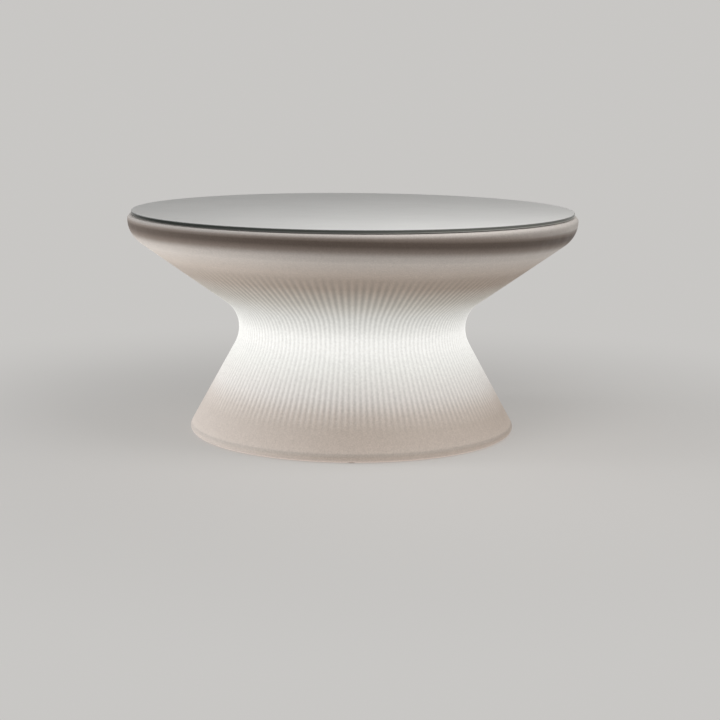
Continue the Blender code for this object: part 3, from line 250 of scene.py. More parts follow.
def surface_map(rings, first_pole, last_pole):
    """Map places for each corner of a closed surface: u round the axis, v the share of the
    section's length. A pole's corner lies halfway between its neighbours."""
    count, columns = rings.shape[:2]
    middle = rings[:, 0]
    steps = np.linalg.norm(np.diff(middle, axis=0), axis=1)
    ends = [np.linalg.norm(middle[0] - first_pole), np.linalg.norm(middle[-1] - last_pole)]
    along = np.cumsum(np.concatenate([[ends[0]], steps, [ends[1]]]))
    v = along[:-1] / along[-1]
    ring, column = np.meshgrid(np.arange(count - 1), np.arange(columns), indexing="ij")
    left, right = column / columns, (column + 1) / columns
    quads = np.stack([
        np.stack([left, v[ring]], 2), np.stack([left, v[ring + 1]], 2),
        np.stack([right, v[ring + 1]], 2), np.stack([right, v[ring]], 2),
    ], 2)
    around = np.arange(columns)
    u0, u1 = around / columns, (around + 1) / columns
    zero, one = np.zeros(columns), np.ones(columns)
    first = np.stack([(u0 + u1) / 2, zero, u0, zero + v[0], u1, zero + v[0]], 1)
    last = np.stack([(u0 + u1) / 2, one, u1, zero + v[-1], u0, zero + v[-1]], 1)
    return np.concatenate([quads.ravel(), first.ravel(), last.ravel()])


def closed_surface(name, rings, first_pole, last_pole, finish):
    """One closed mesh from rings and a pole at each end: quads between the rings, and triangles
    that join the end rings to the poles."""
    count, columns = rings.shape[:2]
    points = np.concatenate([rings.reshape(-1, 3), [first_pole, last_pole]])
    quads = round_quads(count, columns)
    around = np.arange(columns)
    following = (around + 1) % columns
    end = (count - 1) * columns
    first_pole_index, last_pole_index = count * columns, count * columns + 1
    first_fan = np.stack([np.full(columns, first_pole_index), around, following], 1)
    last_fan = np.stack([np.full(columns, last_pole_index), end + following, end + around], 1)
    corners = np.concatenate([quads.ravel(), first_fan.ravel(), last_fan.ravel()])
    sizes = np.concatenate([np.full(len(quads), 4), np.full(2 * columns, 3)])

    mesh = bpy.data.meshes.new(name)
    mesh.vertices.add(len(points))
    mesh.vertices.foreach_set("co", points.astype(np.float32).ravel())
    mesh.loops.add(len(corners))
    mesh.loops.foreach_set("vertex_index", corners.astype(np.int32))
    mesh.polygons.add(len(sizes))
    mesh.polygons.foreach_set("loop_start", (np.cumsum(sizes) - sizes).astype(np.int32))
    layer = mesh.uv_layers.new(name="OFBake")
    places = surface_map(rings, first_pole, last_pole)
    layer.uv.foreach_set("vector", places.astype(np.float32))
    mesh.update(calc_edges=True)
    mesh.validate()
    mesh.shade_smooth()
    mesh.set_sharp_from_angle(angle=SHARP_ANGLE)
    mesh.materials.append(finish)
    return placed(name, mesh)


def placed(name, data):
    """A new object for a mesh, lamp or camera, linked to the scene."""
    made = bpy.data.objects.new(name, data)
    bpy.context.scene.collection.objects.link(made)
    return made


def pegs(name, places, radius, bottom, top):
    """Upright round pegs, one closed body at each place, for cutting or joining: two rings of
    points at radius * (cos, sin), a wall of quads and a flat end on each. The points start
    half a step in, so that none falls on a column line of the piece."""
    angle = 2 * np.pi * (np.arange(PEG_SIDES) + 0.5) / PEG_SIDES
    circle = np.stack([radius * np.cos(angle), radius * np.sin(angle)], 1)
    low = np.arange(PEG_SIDES)
    after = (low + 1) % PEG_SIDES
    points, faces = [], []
    for number, place in enumerate(places):
        start = number * 2 * PEG_SIDES
        for height in (bottom, top):
            points.append(np.column_stack([circle + place, np.full(PEG_SIDES, height)]))
        walls = np.stack([low, after, after + PEG_SIDES, low + PEG_SIDES], 1) + start
        ends = [(low[::-1] + start).tolist(), (low + PEG_SIDES + start).tolist()]
        faces += [*walls.tolist(), *ends]
    mesh = bpy.data.meshes.new(name)
    mesh.from_pydata(np.concatenate(points).tolist(), [], faces)
    mesh.update()
    return placed(name, mesh)


def combine(piece, helper, operation):
    """Joins a helper to a piece or cuts it out, and keeps the result as the piece's own mesh."""
    modifier = piece.modifiers.new(helper.name, "BOOLEAN")
    modifier.operation = operation
    modifier.solver = "EXACT"
    modifier.object = helper
    graph = bpy.context.evaluated_depsgraph_get()
    result = bpy.data.meshes.new_from_object(piece.evaluated_get(graph))
    piece.modifiers.clear()
    piece.data = result
    bpy.data.objects.remove(helper)


def circle_places(count, radius, first):
    """Places at radius * (cos, sin) of evenly spaced angles from the first one."""
    angle = first + 2 * np.pi * np.arange(count) / count
    return np.stack([radius * np.cos(angle), radius * np.sin(angle)], 1)


def make_moulding(finish):
    """The hollow moulding: outer skin with flutes cut inwards by depth * share * valley, where
    valley is (1 - cos(flute angle)) / 2, then the inner skin back to the axis."""
    outer = outer_section()
    inner = np.concatenate(list(body_arcs(WALL, INNER_STEPS).values()))[::-1]
    top = line((TOP_CORE, LAND_Z), outer[0], TOP_SHARES)
    roof = line(inner[-1], (ROOF_CORE, LAND_Z - WALL), ROOF_SHARES)
    columns = FLUTE_COUNT * COLUMNS_PER_FLUTE
    flute = 2 * np.pi * np.arange(columns) / COLUMNS_PER_FLUTE
    valley = (1 - np.cos(flute)) / 2
    cut = FLUTE_DEPTH * flute_share(outer[:, 1:]) * valley
    rings = np.concatenate([
        turned(top, columns), turned(outer, columns, cut),
        turned(np.concatenate([inner, roof]), columns),
    ])
    poles = (0, 0, LAND_Z), (0, 0, LAND_Z - WALL)
    body = closed_surface("moulding_skin", rings, *poles, finish)
    bosses = circle_places(BOSS_COUNT, BOSS_CIRCLE, BOSS_ANGLE)
    vent = circle_places(1, VENT_CIRCLE, VENT_ANGLE)
    combine(body, pegs("boss_guide", bosses, BOSS_RADIUS, BOSS_FOOT, BOSS_TOP), "UNION")
    holes = pegs("insert_cutter", bosses, INSERT_HOLE, CUT_FOOT, INSERT_TOP)
    combine(body, holes, "DIFFERENCE")
    combine(body, pegs("vent_cutter", vent, VENT_RADIUS, CUT_FOOT, VENT_TOP), "DIFFERENCE")
    return body


def make_glass_disc(finish):
    """The loose disc: a flat face, a rounded arris as a quarter arc, the ground edge, the lower
    arris and the flat underside, turned round the axis."""
    reach = GLASS_RADIUS - GLASS_ARRIS
    high_centre, low_centre = (reach, TABLE_HEIGHT - GLASS_ARRIS), (reach, GLASS_LOW + GLASS_ARRIS)
    upper = arc(high_centre, GLASS_ARRIS, math.pi / 2, 0, ARRIS_STEPS)
    lower = arc(low_centre, GLASS_ARRIS, 0, -math.pi / 2, ARRIS_STEPS)
    face = line((GLASS_CORE, TABLE_HEIGHT), upper[0], GLASS_FACE_SHARES)
    back = line(lower[-1], (GLASS_CORE, GLASS_LOW), GLASS_BACK_SHARES)
    edge = line(upper[-1], lower[0], GLASS_EDGE_SHARES)
    rings = turned(np.concatenate([face, upper, edge, lower, back]), GLASS_COLUMNS)
    poles = (0, 0, TABLE_HEIGHT), (0, 0, GLASS_LOW)
    return closed_surface("glass_disc", rings, *poles, finish)


def make_service_plate(finish):
    """The plate in the underside: flat back, edge, small chamfer and flat face turned round the
    axis, with four studs joined on and round holes cut for the screws and the controls."""
    section = np.array([
        (PLATE_CORE, PLATE_TOP), (PLATE_RADIUS, PLATE_TOP), (PLATE_RADIUS, PLATE_LOW + PLATE_EDGE),
        (PLATE_RADIUS - PLATE_EDGE, PLATE_LOW), (PLATE_CORE, PLATE_LOW),
    ])
    poles = (0, 0, PLATE_TOP), (0, 0, PLATE_LOW)
    plate = closed_surface("turned_plate", turned(section, PLATE_COLUMNS), *poles, finish)
    board_low, board_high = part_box("control_board")
    middle = (board_low.x + board_high.x) / 2
    reach_y = (-STUD_REACH_Y, STUD_REACH_Y)
    corners = [(middle + x, y) for x in (-STUD_REACH_X, STUD_REACH_X) for y in reach_y]
    studs = pegs("stud_guide", corners, STUD_RADIUS, PLATE_TOP - STUD_SINK, STUD_TOP)
    combine(plate, studs, "UNION")
    holes = [
        ("screw", circle_places(BOSS_COUNT, BOSS_CIRCLE, BOSS_ANGLE), SCREW_HOLE),
        ("housing_screw", circle_places(HOUSING_SCREWS, HOUSING_CIRCLE, 0.0), HOUSING_HOLE),
    ]
    for name, degrees, radius in CONTROL_HOLES:
        holes.append((name, circle_places(1, CONTROL_CIRCLE, math.radians(degrees)), radius))
    bottom, top = PLATE_LOW - CUT_OVERRUN, PLATE_TOP + CUT_OVERRUN
    for name, places, radius in holes:
        combine(plate, pegs(name + "_cutter", places, radius, bottom, top), "DIFFERENCE")
    return plate


# ---------------------------------------------------------------- finishes

# The middle span of the noise, from its dark to its light patches
PATCH_SPAN = (0.3, 0.7)

# Paint of the moulding: a colour with painted shade, darkest in a band under the rim and dark at
# the waist, and a painted glow in place of the lamp inside, both by height. The ramps' positions
# are shares of the paint height, the toe's of the toe height; the toe's ramp paints a shade band
# and a light line on the glow there, and the ribs' ramp gives how much brighter the painted colour
# and glow are on the ribs than the mean. The painted light and shade drop towards the sides by
# x * (tilt + sag * x), and this drop fades out between two heights under the land. The recess has a
# colour and a painted glow of its own inside a radius and under a height, each with a fade.
PAINT_HEIGHT = 0.43
TOE_HEIGHT = 0.03
# The painted light and shade sit lower towards the sides and lower at the right
SHADE_TILT = 0.02
SHADE_SAG = 0.045
DROP_FADE = (0.403, 0.4185)
RECESS_REACH = (0.282, 0.292)
RECESS_ROOF = (0.031, 0.040)
# The colour with painted shade: darkest in a band under the rim, and dark at the waist
COLOUR_AND_SHADE_STOPS = [
    (0.17, (0.45, 0.425, 0.405)), (0.25, (0.40, 0.385, 0.37)), (0.42, (0.13, 0.13, 0.125)),
    (0.58, (0.11, 0.11, 0.105)), (0.66, (0.22, 0.205, 0.19)), (0.74, (0.43, 0.385, 0.34)),
    (0.80, (0.60, 0.535, 0.475)), (0.855, (0.60, 0.545, 0.50)), (0.88, (0.37, 0.335, 0.305)),
    (0.905, (0.12, 0.095, 0.08)), (0.925, (0.072, 0.056, 0.046)), (0.945, (0.072, 0.056, 0.046)),
    (0.958, (0.20, 0.17, 0.15)), (0.972, (0.49, 0.46, 0.435)),
]
# Painted glow in place of the lamp inside, by height
GLOW_STOPS = [
    (0.0, (0.15, 0.105, 0.075)), (0.13, (0.12, 0.083, 0.055)), (0.18, (0.18, 0.147, 0.122)),
    (0.25, (0.36, 0.345, 0.33)), (0.365, (0.65, 0.65, 0.625)), (0.43, (0.80, 0.795, 0.77)),
    (0.48, (0.80, 0.795, 0.77)), (0.567, (0.555, 0.55, 0.525)), (0.65, (0.285, 0.27, 0.24)),
    (0.73, (0.075, 0.052, 0.038)), (0.77, (0.035, 0.018, 0.01)), (0.86, (0.115, 0.11, 0.105)),
    (0.883, (0.18, 0.165, 0.155)), (0.912, (0.08, 0.065, 0.055)), (0.93, (0.028, 0.02, 0.016)),
    (0.955, (0.025, 0.018, 0.014)), (0.97, (0.0, 0.0, 0.0)), (0.974, (0.06, 0.057, 0.054)),
]
# Painted shade band and bright line at the toe, as factors on the glow
TOE_SHADE_STOPS = [
    (0.05, (2.8, 3.3, 4.0)), (0.20, (1.4, 1.6, 1.9)), (0.32, (1.1, 1.15, 1.2)),
    (0.43, (0.6, 0.55, 0.45)), (0.57, (0.5, 0.45, 0.35)), (0.63, (1.0, 1.05, 1.1)),
    (0.70, (1.1, 1.15, 1.2)), (1.0, (1.0, 1.0, 1.0)),
]
# Painted rib shading: how much brighter the ribs are painted, on colour and glow alike
RIB_SHADE_STOPS = [
    (0.10, (0.0,)), (0.13, (0.025,)), (0.21, (0.13,)), (0.30, (0.08,)), (0.43, (0.07,)),
    (0.50, (0.09,)), (0.69, (0.19,)), (0.73, (0.15,)), (0.79, (0.0,)),
]
RECESS_GLOW = (0.15, 0.135, 0.12)
RECESS_OWN = (0.66, 0.625, 0.59)

# Grain of the moulding powder, fine to cloudy: noise scale, detail and spread
GRAINS = ((900.0, 2.0, 0.30), (430.0, 1.0, 0.36), (150.0, 2.0, 0.12))

# Edge of the glass: where it starts, the heights where its tone changes, and its tones: painted
# shade at the left and painted reflection at the right, for the edge and for its lower part, and a
# painted highlight on the upper arris
RIM_START = (GLASS_RADIUS - 0.0011, GLASS_RADIUS - 0.0006)
LOW_EDGE = (GLASS_LOW + 0.0024, GLASS_LOW + 0.0008)
TOP_ARRIS = (TABLE_HEIGHT - 0.0014, TABLE_HEIGHT - 0.0006)
SHADED_EDGE_LEFT, REFLECTING_EDGE_RIGHT = (0.004, 0.006, 0.004), (0.15, 0.156, 0.144)
SHADED_LOW_EDGE_LEFT, LIT_LOW_EDGE_RIGHT = (0.03, 0.033, 0.03), (0.38, 0.385, 0.365)
# Painted highlight on the upper arris
ARRIS_HIGHLIGHT = (0.16, 0.165, 0.16)

# Turning marks: radians for each metre out on the aluminium and up the brass, and the radians
# that noise moves the rings by
RING_RATE = 9000.0
RING_WANDER = 9.0
THREAD_RATE = 12000.0

# Where the colour changes from the control board to the parts on it, and from a light
# strip to its chips
BOARD_THICKNESS = 0.0016
BOARD_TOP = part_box("control_board")[0].z + BOARD_THICKNESS
BOARD_PARTS = (BOARD_TOP + 0.0001, BOARD_TOP + 0.0004)
CHIP_DEPTH = 0.0005
CHIP_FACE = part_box("led_strip_1")[1].x - CHIP_DEPTH
CHIP_EDGE = (CHIP_FACE - 0.0001, CHIP_FACE + 0.0001)


class Finish:
    """A procedural material under construction: its nodes, and short ways to join them."""

    def __init__(self, name, colour, roughness, metallic=0.0):
        self.made = bpy.data.materials.new(name)
        self.made.use_nodes = True
        self.tree = self.made.node_tree
        self.shader = self.tree.nodes["Principled BSDF"]
        self.colour = colour
        self.set("Base Color", (*colour, 1))
        self.set("Roughness", roughness)
        self.set("Metallic", metallic)
        self.place = self.tree.nodes.new("ShaderNodeTexCoord").outputs["Object"]

    def set(self, socket, value):
        """Sets one of the shader's own sockets to a number or colour."""
        self.shader.inputs[socket].default_value = value
        return self

    def join(self, source, socket):
        """Joins a source to one of the shader's sockets."""
        self.tree.links.new(source, self.shader.inputs[socket])
        return self

    def feed(self, socket, value):
        """Gives a socket a link or a plain number."""
        if isinstance(value, bpy.types.NodeSocket):
            self.tree.links.new(value, socket)
        else:
            socket.default_value = value

    def math(self, operation, first, second=0.0, third=0.0):
        """One arithmetic step on up to three values."""
        step = self.tree.nodes.new("ShaderNodeMath")
        step.operation = operation
        for socket, value in zip(step.inputs, (first, second, third)):
            self.feed(socket, value)
        return step.outputs[0]

    def product(self, *values):
        """All the values multiplied."""
        total = values[0]
        for value in values[1:]:
            total = self.math("MULTIPLY", total, value)
        return total

    def part(self, source):
        """The x, y and z of a vector."""
        split = self.tree.nodes.new("ShaderNodeSeparateXYZ")
        self.feed(split.inputs[0], source)
        return split.outputs

    def reach(self):
        """The distance from the table's axis: the root of x squared plus y squared."""
        x, y, _ = self.part(self.place)
        return self.math("SQRT", self.math("ADD", self.product(x, x), self.product(y, y)))

    def stretched(self, scale):
        """Object coordinates stretched by a scale on each axis."""
        mapping = self.tree.nodes.new("ShaderNodeMapping")
        self.feed(mapping.inputs["Vector"], self.place)
        mapping.inputs["Scale"].default_value = scale
        return mapping.outputs[0]

    def noise(self, scale, detail=2.0, place=None):
        """Cloudy noise of about one over scale metres."""
        made = self.tree.nodes.new("ShaderNodeTexNoise")
        self.feed(made.inputs["Vector"], self.place if place is None else place)
        made.inputs["Scale"].default_value = scale
        made.inputs["Detail"].default_value = detail
        return made.outputs["Fac"]

    def patches(self, scale, detail=3.0, low=0.0, high=1.0):
        """Cloudy noise spread out between a low and a high value."""
        return self.span(self.noise(scale, detail), *PATCH_SPAN, low, high)

    def swing(self, scale, detail, spread):
        """Noise about 1, which swings up and down by half the spread."""
        return self.math("MULTIPLY_ADD", self.noise(scale, detail), spread, 1 - spread / 2)

    def ramp(self, value, stops):
        """A colour for each value: stops are (position, colour) from low to high. A colour of
        one number is a grey."""
        made = self.tree.nodes.new("ShaderNodeValToRGB")
        band = made.color_ramp
        while len(band.elements) < len(stops):
            band.elements.new(0.5)
        for element, (position, colour) in zip(band.elements, stops):
            element.position = position
            element.color = (*(colour if len(colour) == 3 else colour * 3), 1)
        self.feed(made.inputs["Fac"], value)
        return made.outputs["Color"]

    def span(self, value, low, high, to_low=0.0, to_high=1.0):
        """A value moved from one span to another, and held inside it."""
        made = self.tree.nodes.new("ShaderNodeMapRange")
        numbers = {"From Min": low, "From Max": high, "To Min": to_low, "To Max": to_high}
        for name, number in numbers.items():
            made.inputs[name].default_value = number
        self.feed(made.inputs["Value"], value)
        return made.outputs[0]

    def below(self, value, fade):
        """1 under the fade's lower end and 0 over its upper one."""
        return self.span(value, *fade, 1.0, 0.0)

    def blend(self, factor, first, second):
        """A mix of two colours. The node's sockets for colours are inputs 6 and 7 and output 2."""
        made = self.tree.nodes.new("ShaderNodeMix")
        made.data_type = "RGBA"
        self.feed(made.inputs["Factor"], factor)
        for socket, value in ((made.inputs[6], first), (made.inputs[7], second)):
            self.feed(socket, (*value, 1) if isinstance(value, tuple) else value)
        return made.outputs[2]

    def times(self, colour, value):
        """A colour made brighter or darker by a value, or by another colour."""
        made = self.tree.nodes.new("ShaderNodeVectorMath")
        made.operation = "MULTIPLY"
        self.feed(made.inputs[0], colour)
        self.feed(made.inputs[1], value)
        return made.outputs[0]

    def relief(self, height, depth):
        """A surface relief of that depth in metres."""
        bump = self.tree.nodes.new("ShaderNodeBump")
        bump.inputs["Distance"].default_value = depth
        self.feed(bump.inputs["Height"], height)
        return self.join(bump.outputs[0], "Normal")

    def mottled(self, spread, scale):
        """The finish's colour, lighter and darker by a spread in cloudy patches."""
        dark = tuple(c * (1 - spread) for c in self.colour)
        light = tuple(min(c * (1 + spread), 1) for c in self.colour)
        return self.join(self.blend(self.patches(scale), dark, light), "Base Color")

    def worn(self, low, high, scale, detail=3.0):
        """A roughness that wanders between two values."""
        return self.join(self.patches(scale, detail, low, high), "Roughness")


def moulding_with_painted_glow():
    """White polyethylene with a painted glow in place of the lamp inside, and a colour with painted
    shade: both follow the height, the glow is brightest under the waist and the shade darkest in a
    band under the rim. Both are painted a little brighter on the ribs, 1 + depth * cos(flutes *
    angle), and carry the grain of the moulding powder."""
    made = Finish("moulding", (0.33, 0.31, 0.29), 0.5)
    x, y, z = made.part(made.place)
    # The painted light and shade drop towards the sides and to the right
    drop = made.product(x, made.math("MULTIPLY_ADD", x, SHADE_SAG, SHADE_TILT))
    drop = made.product(drop, made.below(z, DROP_FADE))
    height = made.math("DIVIDE", made.math("ADD", z, drop), PAINT_HEIGHT)
    # Painted shade band and light line on the glow at the toe
    toe = made.ramp(made.math("DIVIDE", z, TOE_HEIGHT), TOE_SHADE_STOPS)
    recess = made.product(made.below(made.reach(), RECESS_REACH), made.below(z, RECESS_ROOF))
    # Painted glow in place of the lamp inside
    glow = made.blend(recess, made.times(made.ramp(height, GLOW_STOPS), toe), RECESS_GLOW)
    # own is the colour with painted shade by height
    own = made.blend(recess, made.ramp(height, COLOUR_AND_SHADE_STOPS), RECESS_OWN)
    angle = made.math("ARCTAN2", x, made.product(y, -1.0))
    wave = made.math("COSINE", made.product(angle, float(FLUTE_COUNT)))
    # Painted rib shading, ribs lighter and valleys darker, times the real grain of the powder
    rib_shade = made.math("MULTIPLY_ADD", wave, made.part(made.ramp(height, RIB_SHADE_STOPS))[0], 1.0)
    rib_shade_and_grain = made.product(rib_shade, *(made.swing(*grain) for grain in GRAINS))
    made.join(made.times(own, rib_shade_and_grain), "Base Color")
    made.join(made.times(glow, rib_shade_and_grain), "Emission Color")
    made.set("Emission Strength", 1.0).set("Specular IOR Level", 0.35)
    made.worn(0.44, 0.58, 40.0)
    dimples = made.math("ADD", made.noise(620.0, 3.0), made.product(made.noise(150.0), 0.6))
    return made.relief(dimples, 0.00025).made


def satin_glass():
    """Etched glass: a fine frosted face in neutral grey, and a dark grey-green ground edge with
    painted shade at the left and painted reflection at the right, paler on its lower part, and a
    painted highlight on the upper arris."""
    made = Finish("satin_glass", (0.48, 0.485, 0.48), 0.42)
    x, _, z = made.part(made.place)
    rim = made.span(made.reach(), *RIM_START)
    frost = made.blend(made.patches(9.0, 4.0), (0.56, 0.565, 0.56), (0.585, 0.59, 0.585))
    frost = made.times(frost, made.swing(520.0, 1.0, 0.18))
    # Painted shade at the left of the edge and painted reflection at the right
    shade = made.blend(made.span(x, -0.4, 0.4), SHADED_EDGE_LEFT, REFLECTING_EDGE_RIGHT)
    low_edge_light = made.blend(made.span(x, -0.3, 0.3), SHADED_LOW_EDGE_LEFT, LIT_LOW_EDGE_RIGHT)
    edge = made.blend(made.span(z, *LOW_EDGE), shade, low_edge_light)
    # Painted highlight on the upper arris
    edge = made.blend(made.span(z, *TOP_ARRIS), edge, ARRIS_HIGHLIGHT)
    made.join(made.blend(rim, frost, edge), "Base Color")
    rough = made.patches(30.0, low=0.40, high=0.46)
    made.join(made.math("MULTIPLY_ADD", rim, -0.22, rough), "Roughness")
    made.set("Specular IOR Level", 0.06)
    return made.relief(made.noise(2600.0), 0.00002).made


def grained(name, colour, roughness, spread, patch, wear, wear_scale, grain, depth, detail=3.0,
            metallic=0.0):
    """A finish with cloudy patches, a roughness that wanders and a fine grain in relief."""
    made = Finish(name, colour, roughness, metallic)
    made.mottled(spread, patch).worn(*wear, wear_scale)
    return made.relief(made.noise(grain, detail), depth)


def clear_silicone():
    made = grained("clear_silicone", (0.78, 0.78, 0.76), 0.3, spread=0.04, patch=300.0,
                   wear=(0.25, 0.4), wear_scale=500.0, grain=900.0, depth=0.00003, detail=2.0)
    return made.set("Transmission Weight", 0.5).set("IOR", 1.41).made


def black_rubber():
    return grained("black_rubber", (0.03, 0.03, 0.031), 0.75, spread=0.25, patch=260.0,
                   wear=(0.66, 0.85), wear_scale=400.0, grain=1400.0, depth=0.00006).made


def grey_plastic():
    return grained("grey_plastic", (0.42, 0.42, 0.43), 0.5, spread=0.05, patch=60.0,
                   wear=(0.45, 0.6), wear_scale=160.0, grain=1800.0, depth=0.00005).made


def satin_aluminium():
    """Turned and blasted aluminium: fine rings round the axis over a grain. The rings are a
    sine of the distance from the axis, which noise moves in and out a little."""
    made = Finish("satin_aluminium", (0.72, 0.73, 0.74), 0.36, 1.0)
    made.mottled(0.06, 45.0).worn(0.30, 0.45, 320.0, 4.0)
    wander = made.product(made.noise(80.0), RING_WANDER)
    rings = made.math("SINE", made.math("MULTIPLY_ADD", made.reach(), RING_RATE, wander))
    return made.relief(made.math("MULTIPLY_ADD", rings, 0.25, made.noise(1600.0)), 0.00003).made


def bright_steel():
    return grained("bright_steel", (0.6, 0.6, 0.61), 0.28, spread=0.1, patch=400.0,
                   wear=(0.2, 0.38), wear_scale=700.0, grain=2500.0, depth=0.00002,
                   metallic=1.0).made


def turned_brass():
    """Brass with the fine thread-like lines left by the lathe, a sine of the height."""
    made = Finish("turned_brass", (0.72, 0.52, 0.22), 0.3, 1.0)
    made.mottled(0.1, 500.0).worn(0.24, 0.42, 600.0)
    z = made.part(made.place)[2]
    return made.relief(made.math("SINE", made.product(z, THREAD_RATE)), 0.00004).made


def white_plastic():
    return grained("white_plastic", (0.78, 0.78, 0.76), 0.34, spread=0.03, patch=30.0,
                   wear=(0.3, 0.42), wear_scale=90.0, grain=1300.0, depth=0.00004,
                   detail=2.0).made


def black_plastic():
    return grained("black_plastic", (0.048, 0.048, 0.05), 0.5, spread=0.15, patch=120.0,
                   wear=(0.42, 0.6), wear_scale=300.0, grain=2200.0, depth=0.00006).made


def cell_sleeve():
    """Shrink sleeve on the cells: glossy, with faint wrinkles across."""
    made = Finish("cell_sleeve", (0.08, 0.27, 0.45), 0.28)
    made.mottled(0.12, 90.0).worn(0.2, 0.36, 200.0)
    wrinkles = made.noise(60.0, 3.0, made.stretched((8.0, 1.0, 1.0)))
    return made.relief(wrinkles, 0.00015).made


def circuit_board():
    """Solder mask with faint tracks, darker and duller on the parts that stand on it."""
    made = Finish("circuit_board", (0.02, 0.17, 0.08), 0.35)
    tracks = made.tree.nodes.new("ShaderNodeTexBrick")
    made.feed(tracks.inputs["Vector"], made.place)
    values = {
        "Scale": 260.0, "Mortar Size": 0.09, "Brick Width": 1.7, "Row Height": 0.6,
        "Color1": (0.015, 0.14, 0.065, 1), "Color2": (0.018, 0.16, 0.075, 1),
        "Mortar": (0.04, 0.26, 0.12, 1),
    }
    for name, value in values.items():
        tracks.inputs[name].default_value = value
    z = made.part(made.place)[2]
    parts = made.span(z, *BOARD_PARTS)
    dark = made.blend(made.patches(500.0, 2.0), (0.03, 0.03, 0.03), (0.06, 0.06, 0.062))
    made.join(made.blend(parts, tracks.outputs["Color"], dark), "Base Color")
    made.worn(0.3, 0.5, 400.0)
    return made.relief(tracks.outputs["Fac"], 0.00005).made


def led_board():
    """White solder mask on the strips, and yellow phosphor on the chips that stand proud of it.
    The strips face 0, 120 and 240 degrees, so the largest of the three reaches is a point's own."""
    made = Finish("led_board", (0.82, 0.81, 0.76), 0.4)
    x, y, _ = made.part(made.place)
    half = made.product(x, -0.5)
    aside = made.product(y, math.sqrt(3) / 2)
    reach = made.math("MAXIMUM", x, made.math("ADD", half, aside))
    reach = made.math("MAXIMUM", reach, made.math("SUBTRACT", half, aside))
    chips = made.span(reach, *CHIP_EDGE)
    mask = made.blend(made.patches(300.0), (0.78, 0.77, 0.72), (0.86, 0.85, 0.80))
    made.join(made.blend(chips, mask, (0.80, 0.62, 0.16)), "Base Color")
    made.worn(0.34, 0.5, 400.0)
    return made.relief(made.noise(1500.0), 0.00004).made


def opal_diffuser():
    """Opal polycarbonate lit from inside, brightest along the strips and dimmer in the dome."""
    made = Finish("opal_diffuser", (0.72, 0.72, 0.7), 0.45)
    z = made.part(made.place)[2]
    low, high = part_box("diffuser")
    foot, strips, dome = (0.05, 0.048, 0.044), (0.24, 0.235, 0.22), (0.1, 0.097, 0.09)
    stops = [(0.0, foot), (0.2, strips), (0.75, strips), (1.0, dome)]
    glow = made.ramp(made.span(z, low.z, high.z), stops)
    made.mottled(0.03, 60.0).worn(0.4, 0.52, 120.0)
    made.join(made.times(glow, made.swing(80.0, 2.0, 0.1)), "Emission Color")
    made.set("Emission Strength", 1.0)
    return made.relief(made.noise(1100.0), 0.00003).made


def red_lens():
    made = grained("red_lens", (0.18, 0.035, 0.035), 0.12, spread=0.15, patch=400.0,
                   wear=(0.08, 0.18), wear_scale=600.0, grain=700.0, depth=0.00002, detail=2.0)
    return made.set("Coat Weight", 0.4).set("Coat Roughness", 0.08).made


def lead_insulation():
    return grained("lead_insulation", (0.035, 0.035, 0.036), 0.45, spread=0.2, patch=300.0,
                   wear=(0.38, 0.55), wear_scale=500.0, grain=1200.0, depth=0.00004,
                   detail=2.0).made


# ---------------------------------------------------------------- dressing

MADE_BY_SLOT = {
    "moulding": moulding_with_painted_glow(),
    "satin_glass": satin_glass(),
    "clear_silicone": clear_silicone(),
    "black_rubber": black_rubber(),
    "grey_plastic": grey_plastic(),
    "aluminium": satin_aluminium(),
    "steel": bright_steel(),
    "brass": turned_brass(),
    "white_plastic": white_plastic(),
    "black_plastic": black_plastic(),
    "cell_sleeve": cell_sleeve(),
    "circuit_board": circuit_board(),
    "led_board": led_board(),
    "opal_diffuser": opal_diffuser(),
    "lens": red_lens(),
    "lead_insulation": lead_insulation(),
}

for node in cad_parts.values():
    for place in node.material_slots:
        slot_name = place.material.name.split(".")[0] if place.material else ""
        if slot_name in MADE_BY_SLOT:
            place.material = MADE_BY_SLOT[slot_name]

body = make_moulding(MADE_BY_SLOT["moulding"])
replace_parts(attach(body, "table"), "body_shell")
glass = make_glass_disc(MADE_BY_SLOT["satin_glass"])
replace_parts(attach(glass, "glass"), "glass_top")
plate = make_service_plate(MADE_BY_SLOT["aluminium"])
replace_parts(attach(plate, "table"), "service_plate")


# ---------------------------------------------------------------- studio

FLOOR_COLOUR = (0.62, 0.605, 0.59)
BACKGROUND = (0.58, 0.57, 0.555)
AIR_COLOUR = (1.0, 0.985, 0.97)
AIR_LIGHT = 0.26

FLOOR_RADIUS = 14.0
FLOOR_RINGS = 12
FLOOR_COLUMNS = 96
FLOOR_CORE_SHARE = 0.05
FLOOR_FADE = {"From Min": 0.3, "From Max": 1.4, "To Min": 0.5}

# The camera of the photograph; its focal length is counted in the picture's own pixels
CAMERA_PLACE = (0.0, -3.277, 0.699)
CAMERA_PITCH = math.radians(9.772)
CAMERA_YAW = math.radians(0.271)
CAMERA_ROLL = math.radians(0.451)
FOCAL_PIXELS = 1717.0
IMAGE_PIXELS = 720
SENSOR_WIDTH = 36.0


def mixed(tree, factor, first, second):
    """A mix of two shaders by a factor."""
    mix = tree.nodes.new("ShaderNodeMixShader")
    for socket, source in zip(mix.inputs, (factor, first, second)):
        tree.links.new(source, socket)
    return mix.outputs[0]


def looked_at(tree):
    """1 for rays that look at the background: camera, glossy and transmission rays."""
    paths = tree.nodes.new("ShaderNodeLightPath")
    total = paths.outputs["Is Camera Ray"]
    for name in ("Is Glossy Ray", "Is Transmission Ray"):
        larger = tree.nodes.new("ShaderNodeMath")
        larger.operation = "MAXIMUM"
        tree.links.new(total, larger.inputs[0])
        tree.links.new(paths.outputs[name], larger.inputs[1])
        total = larger.outputs[0]
    return total


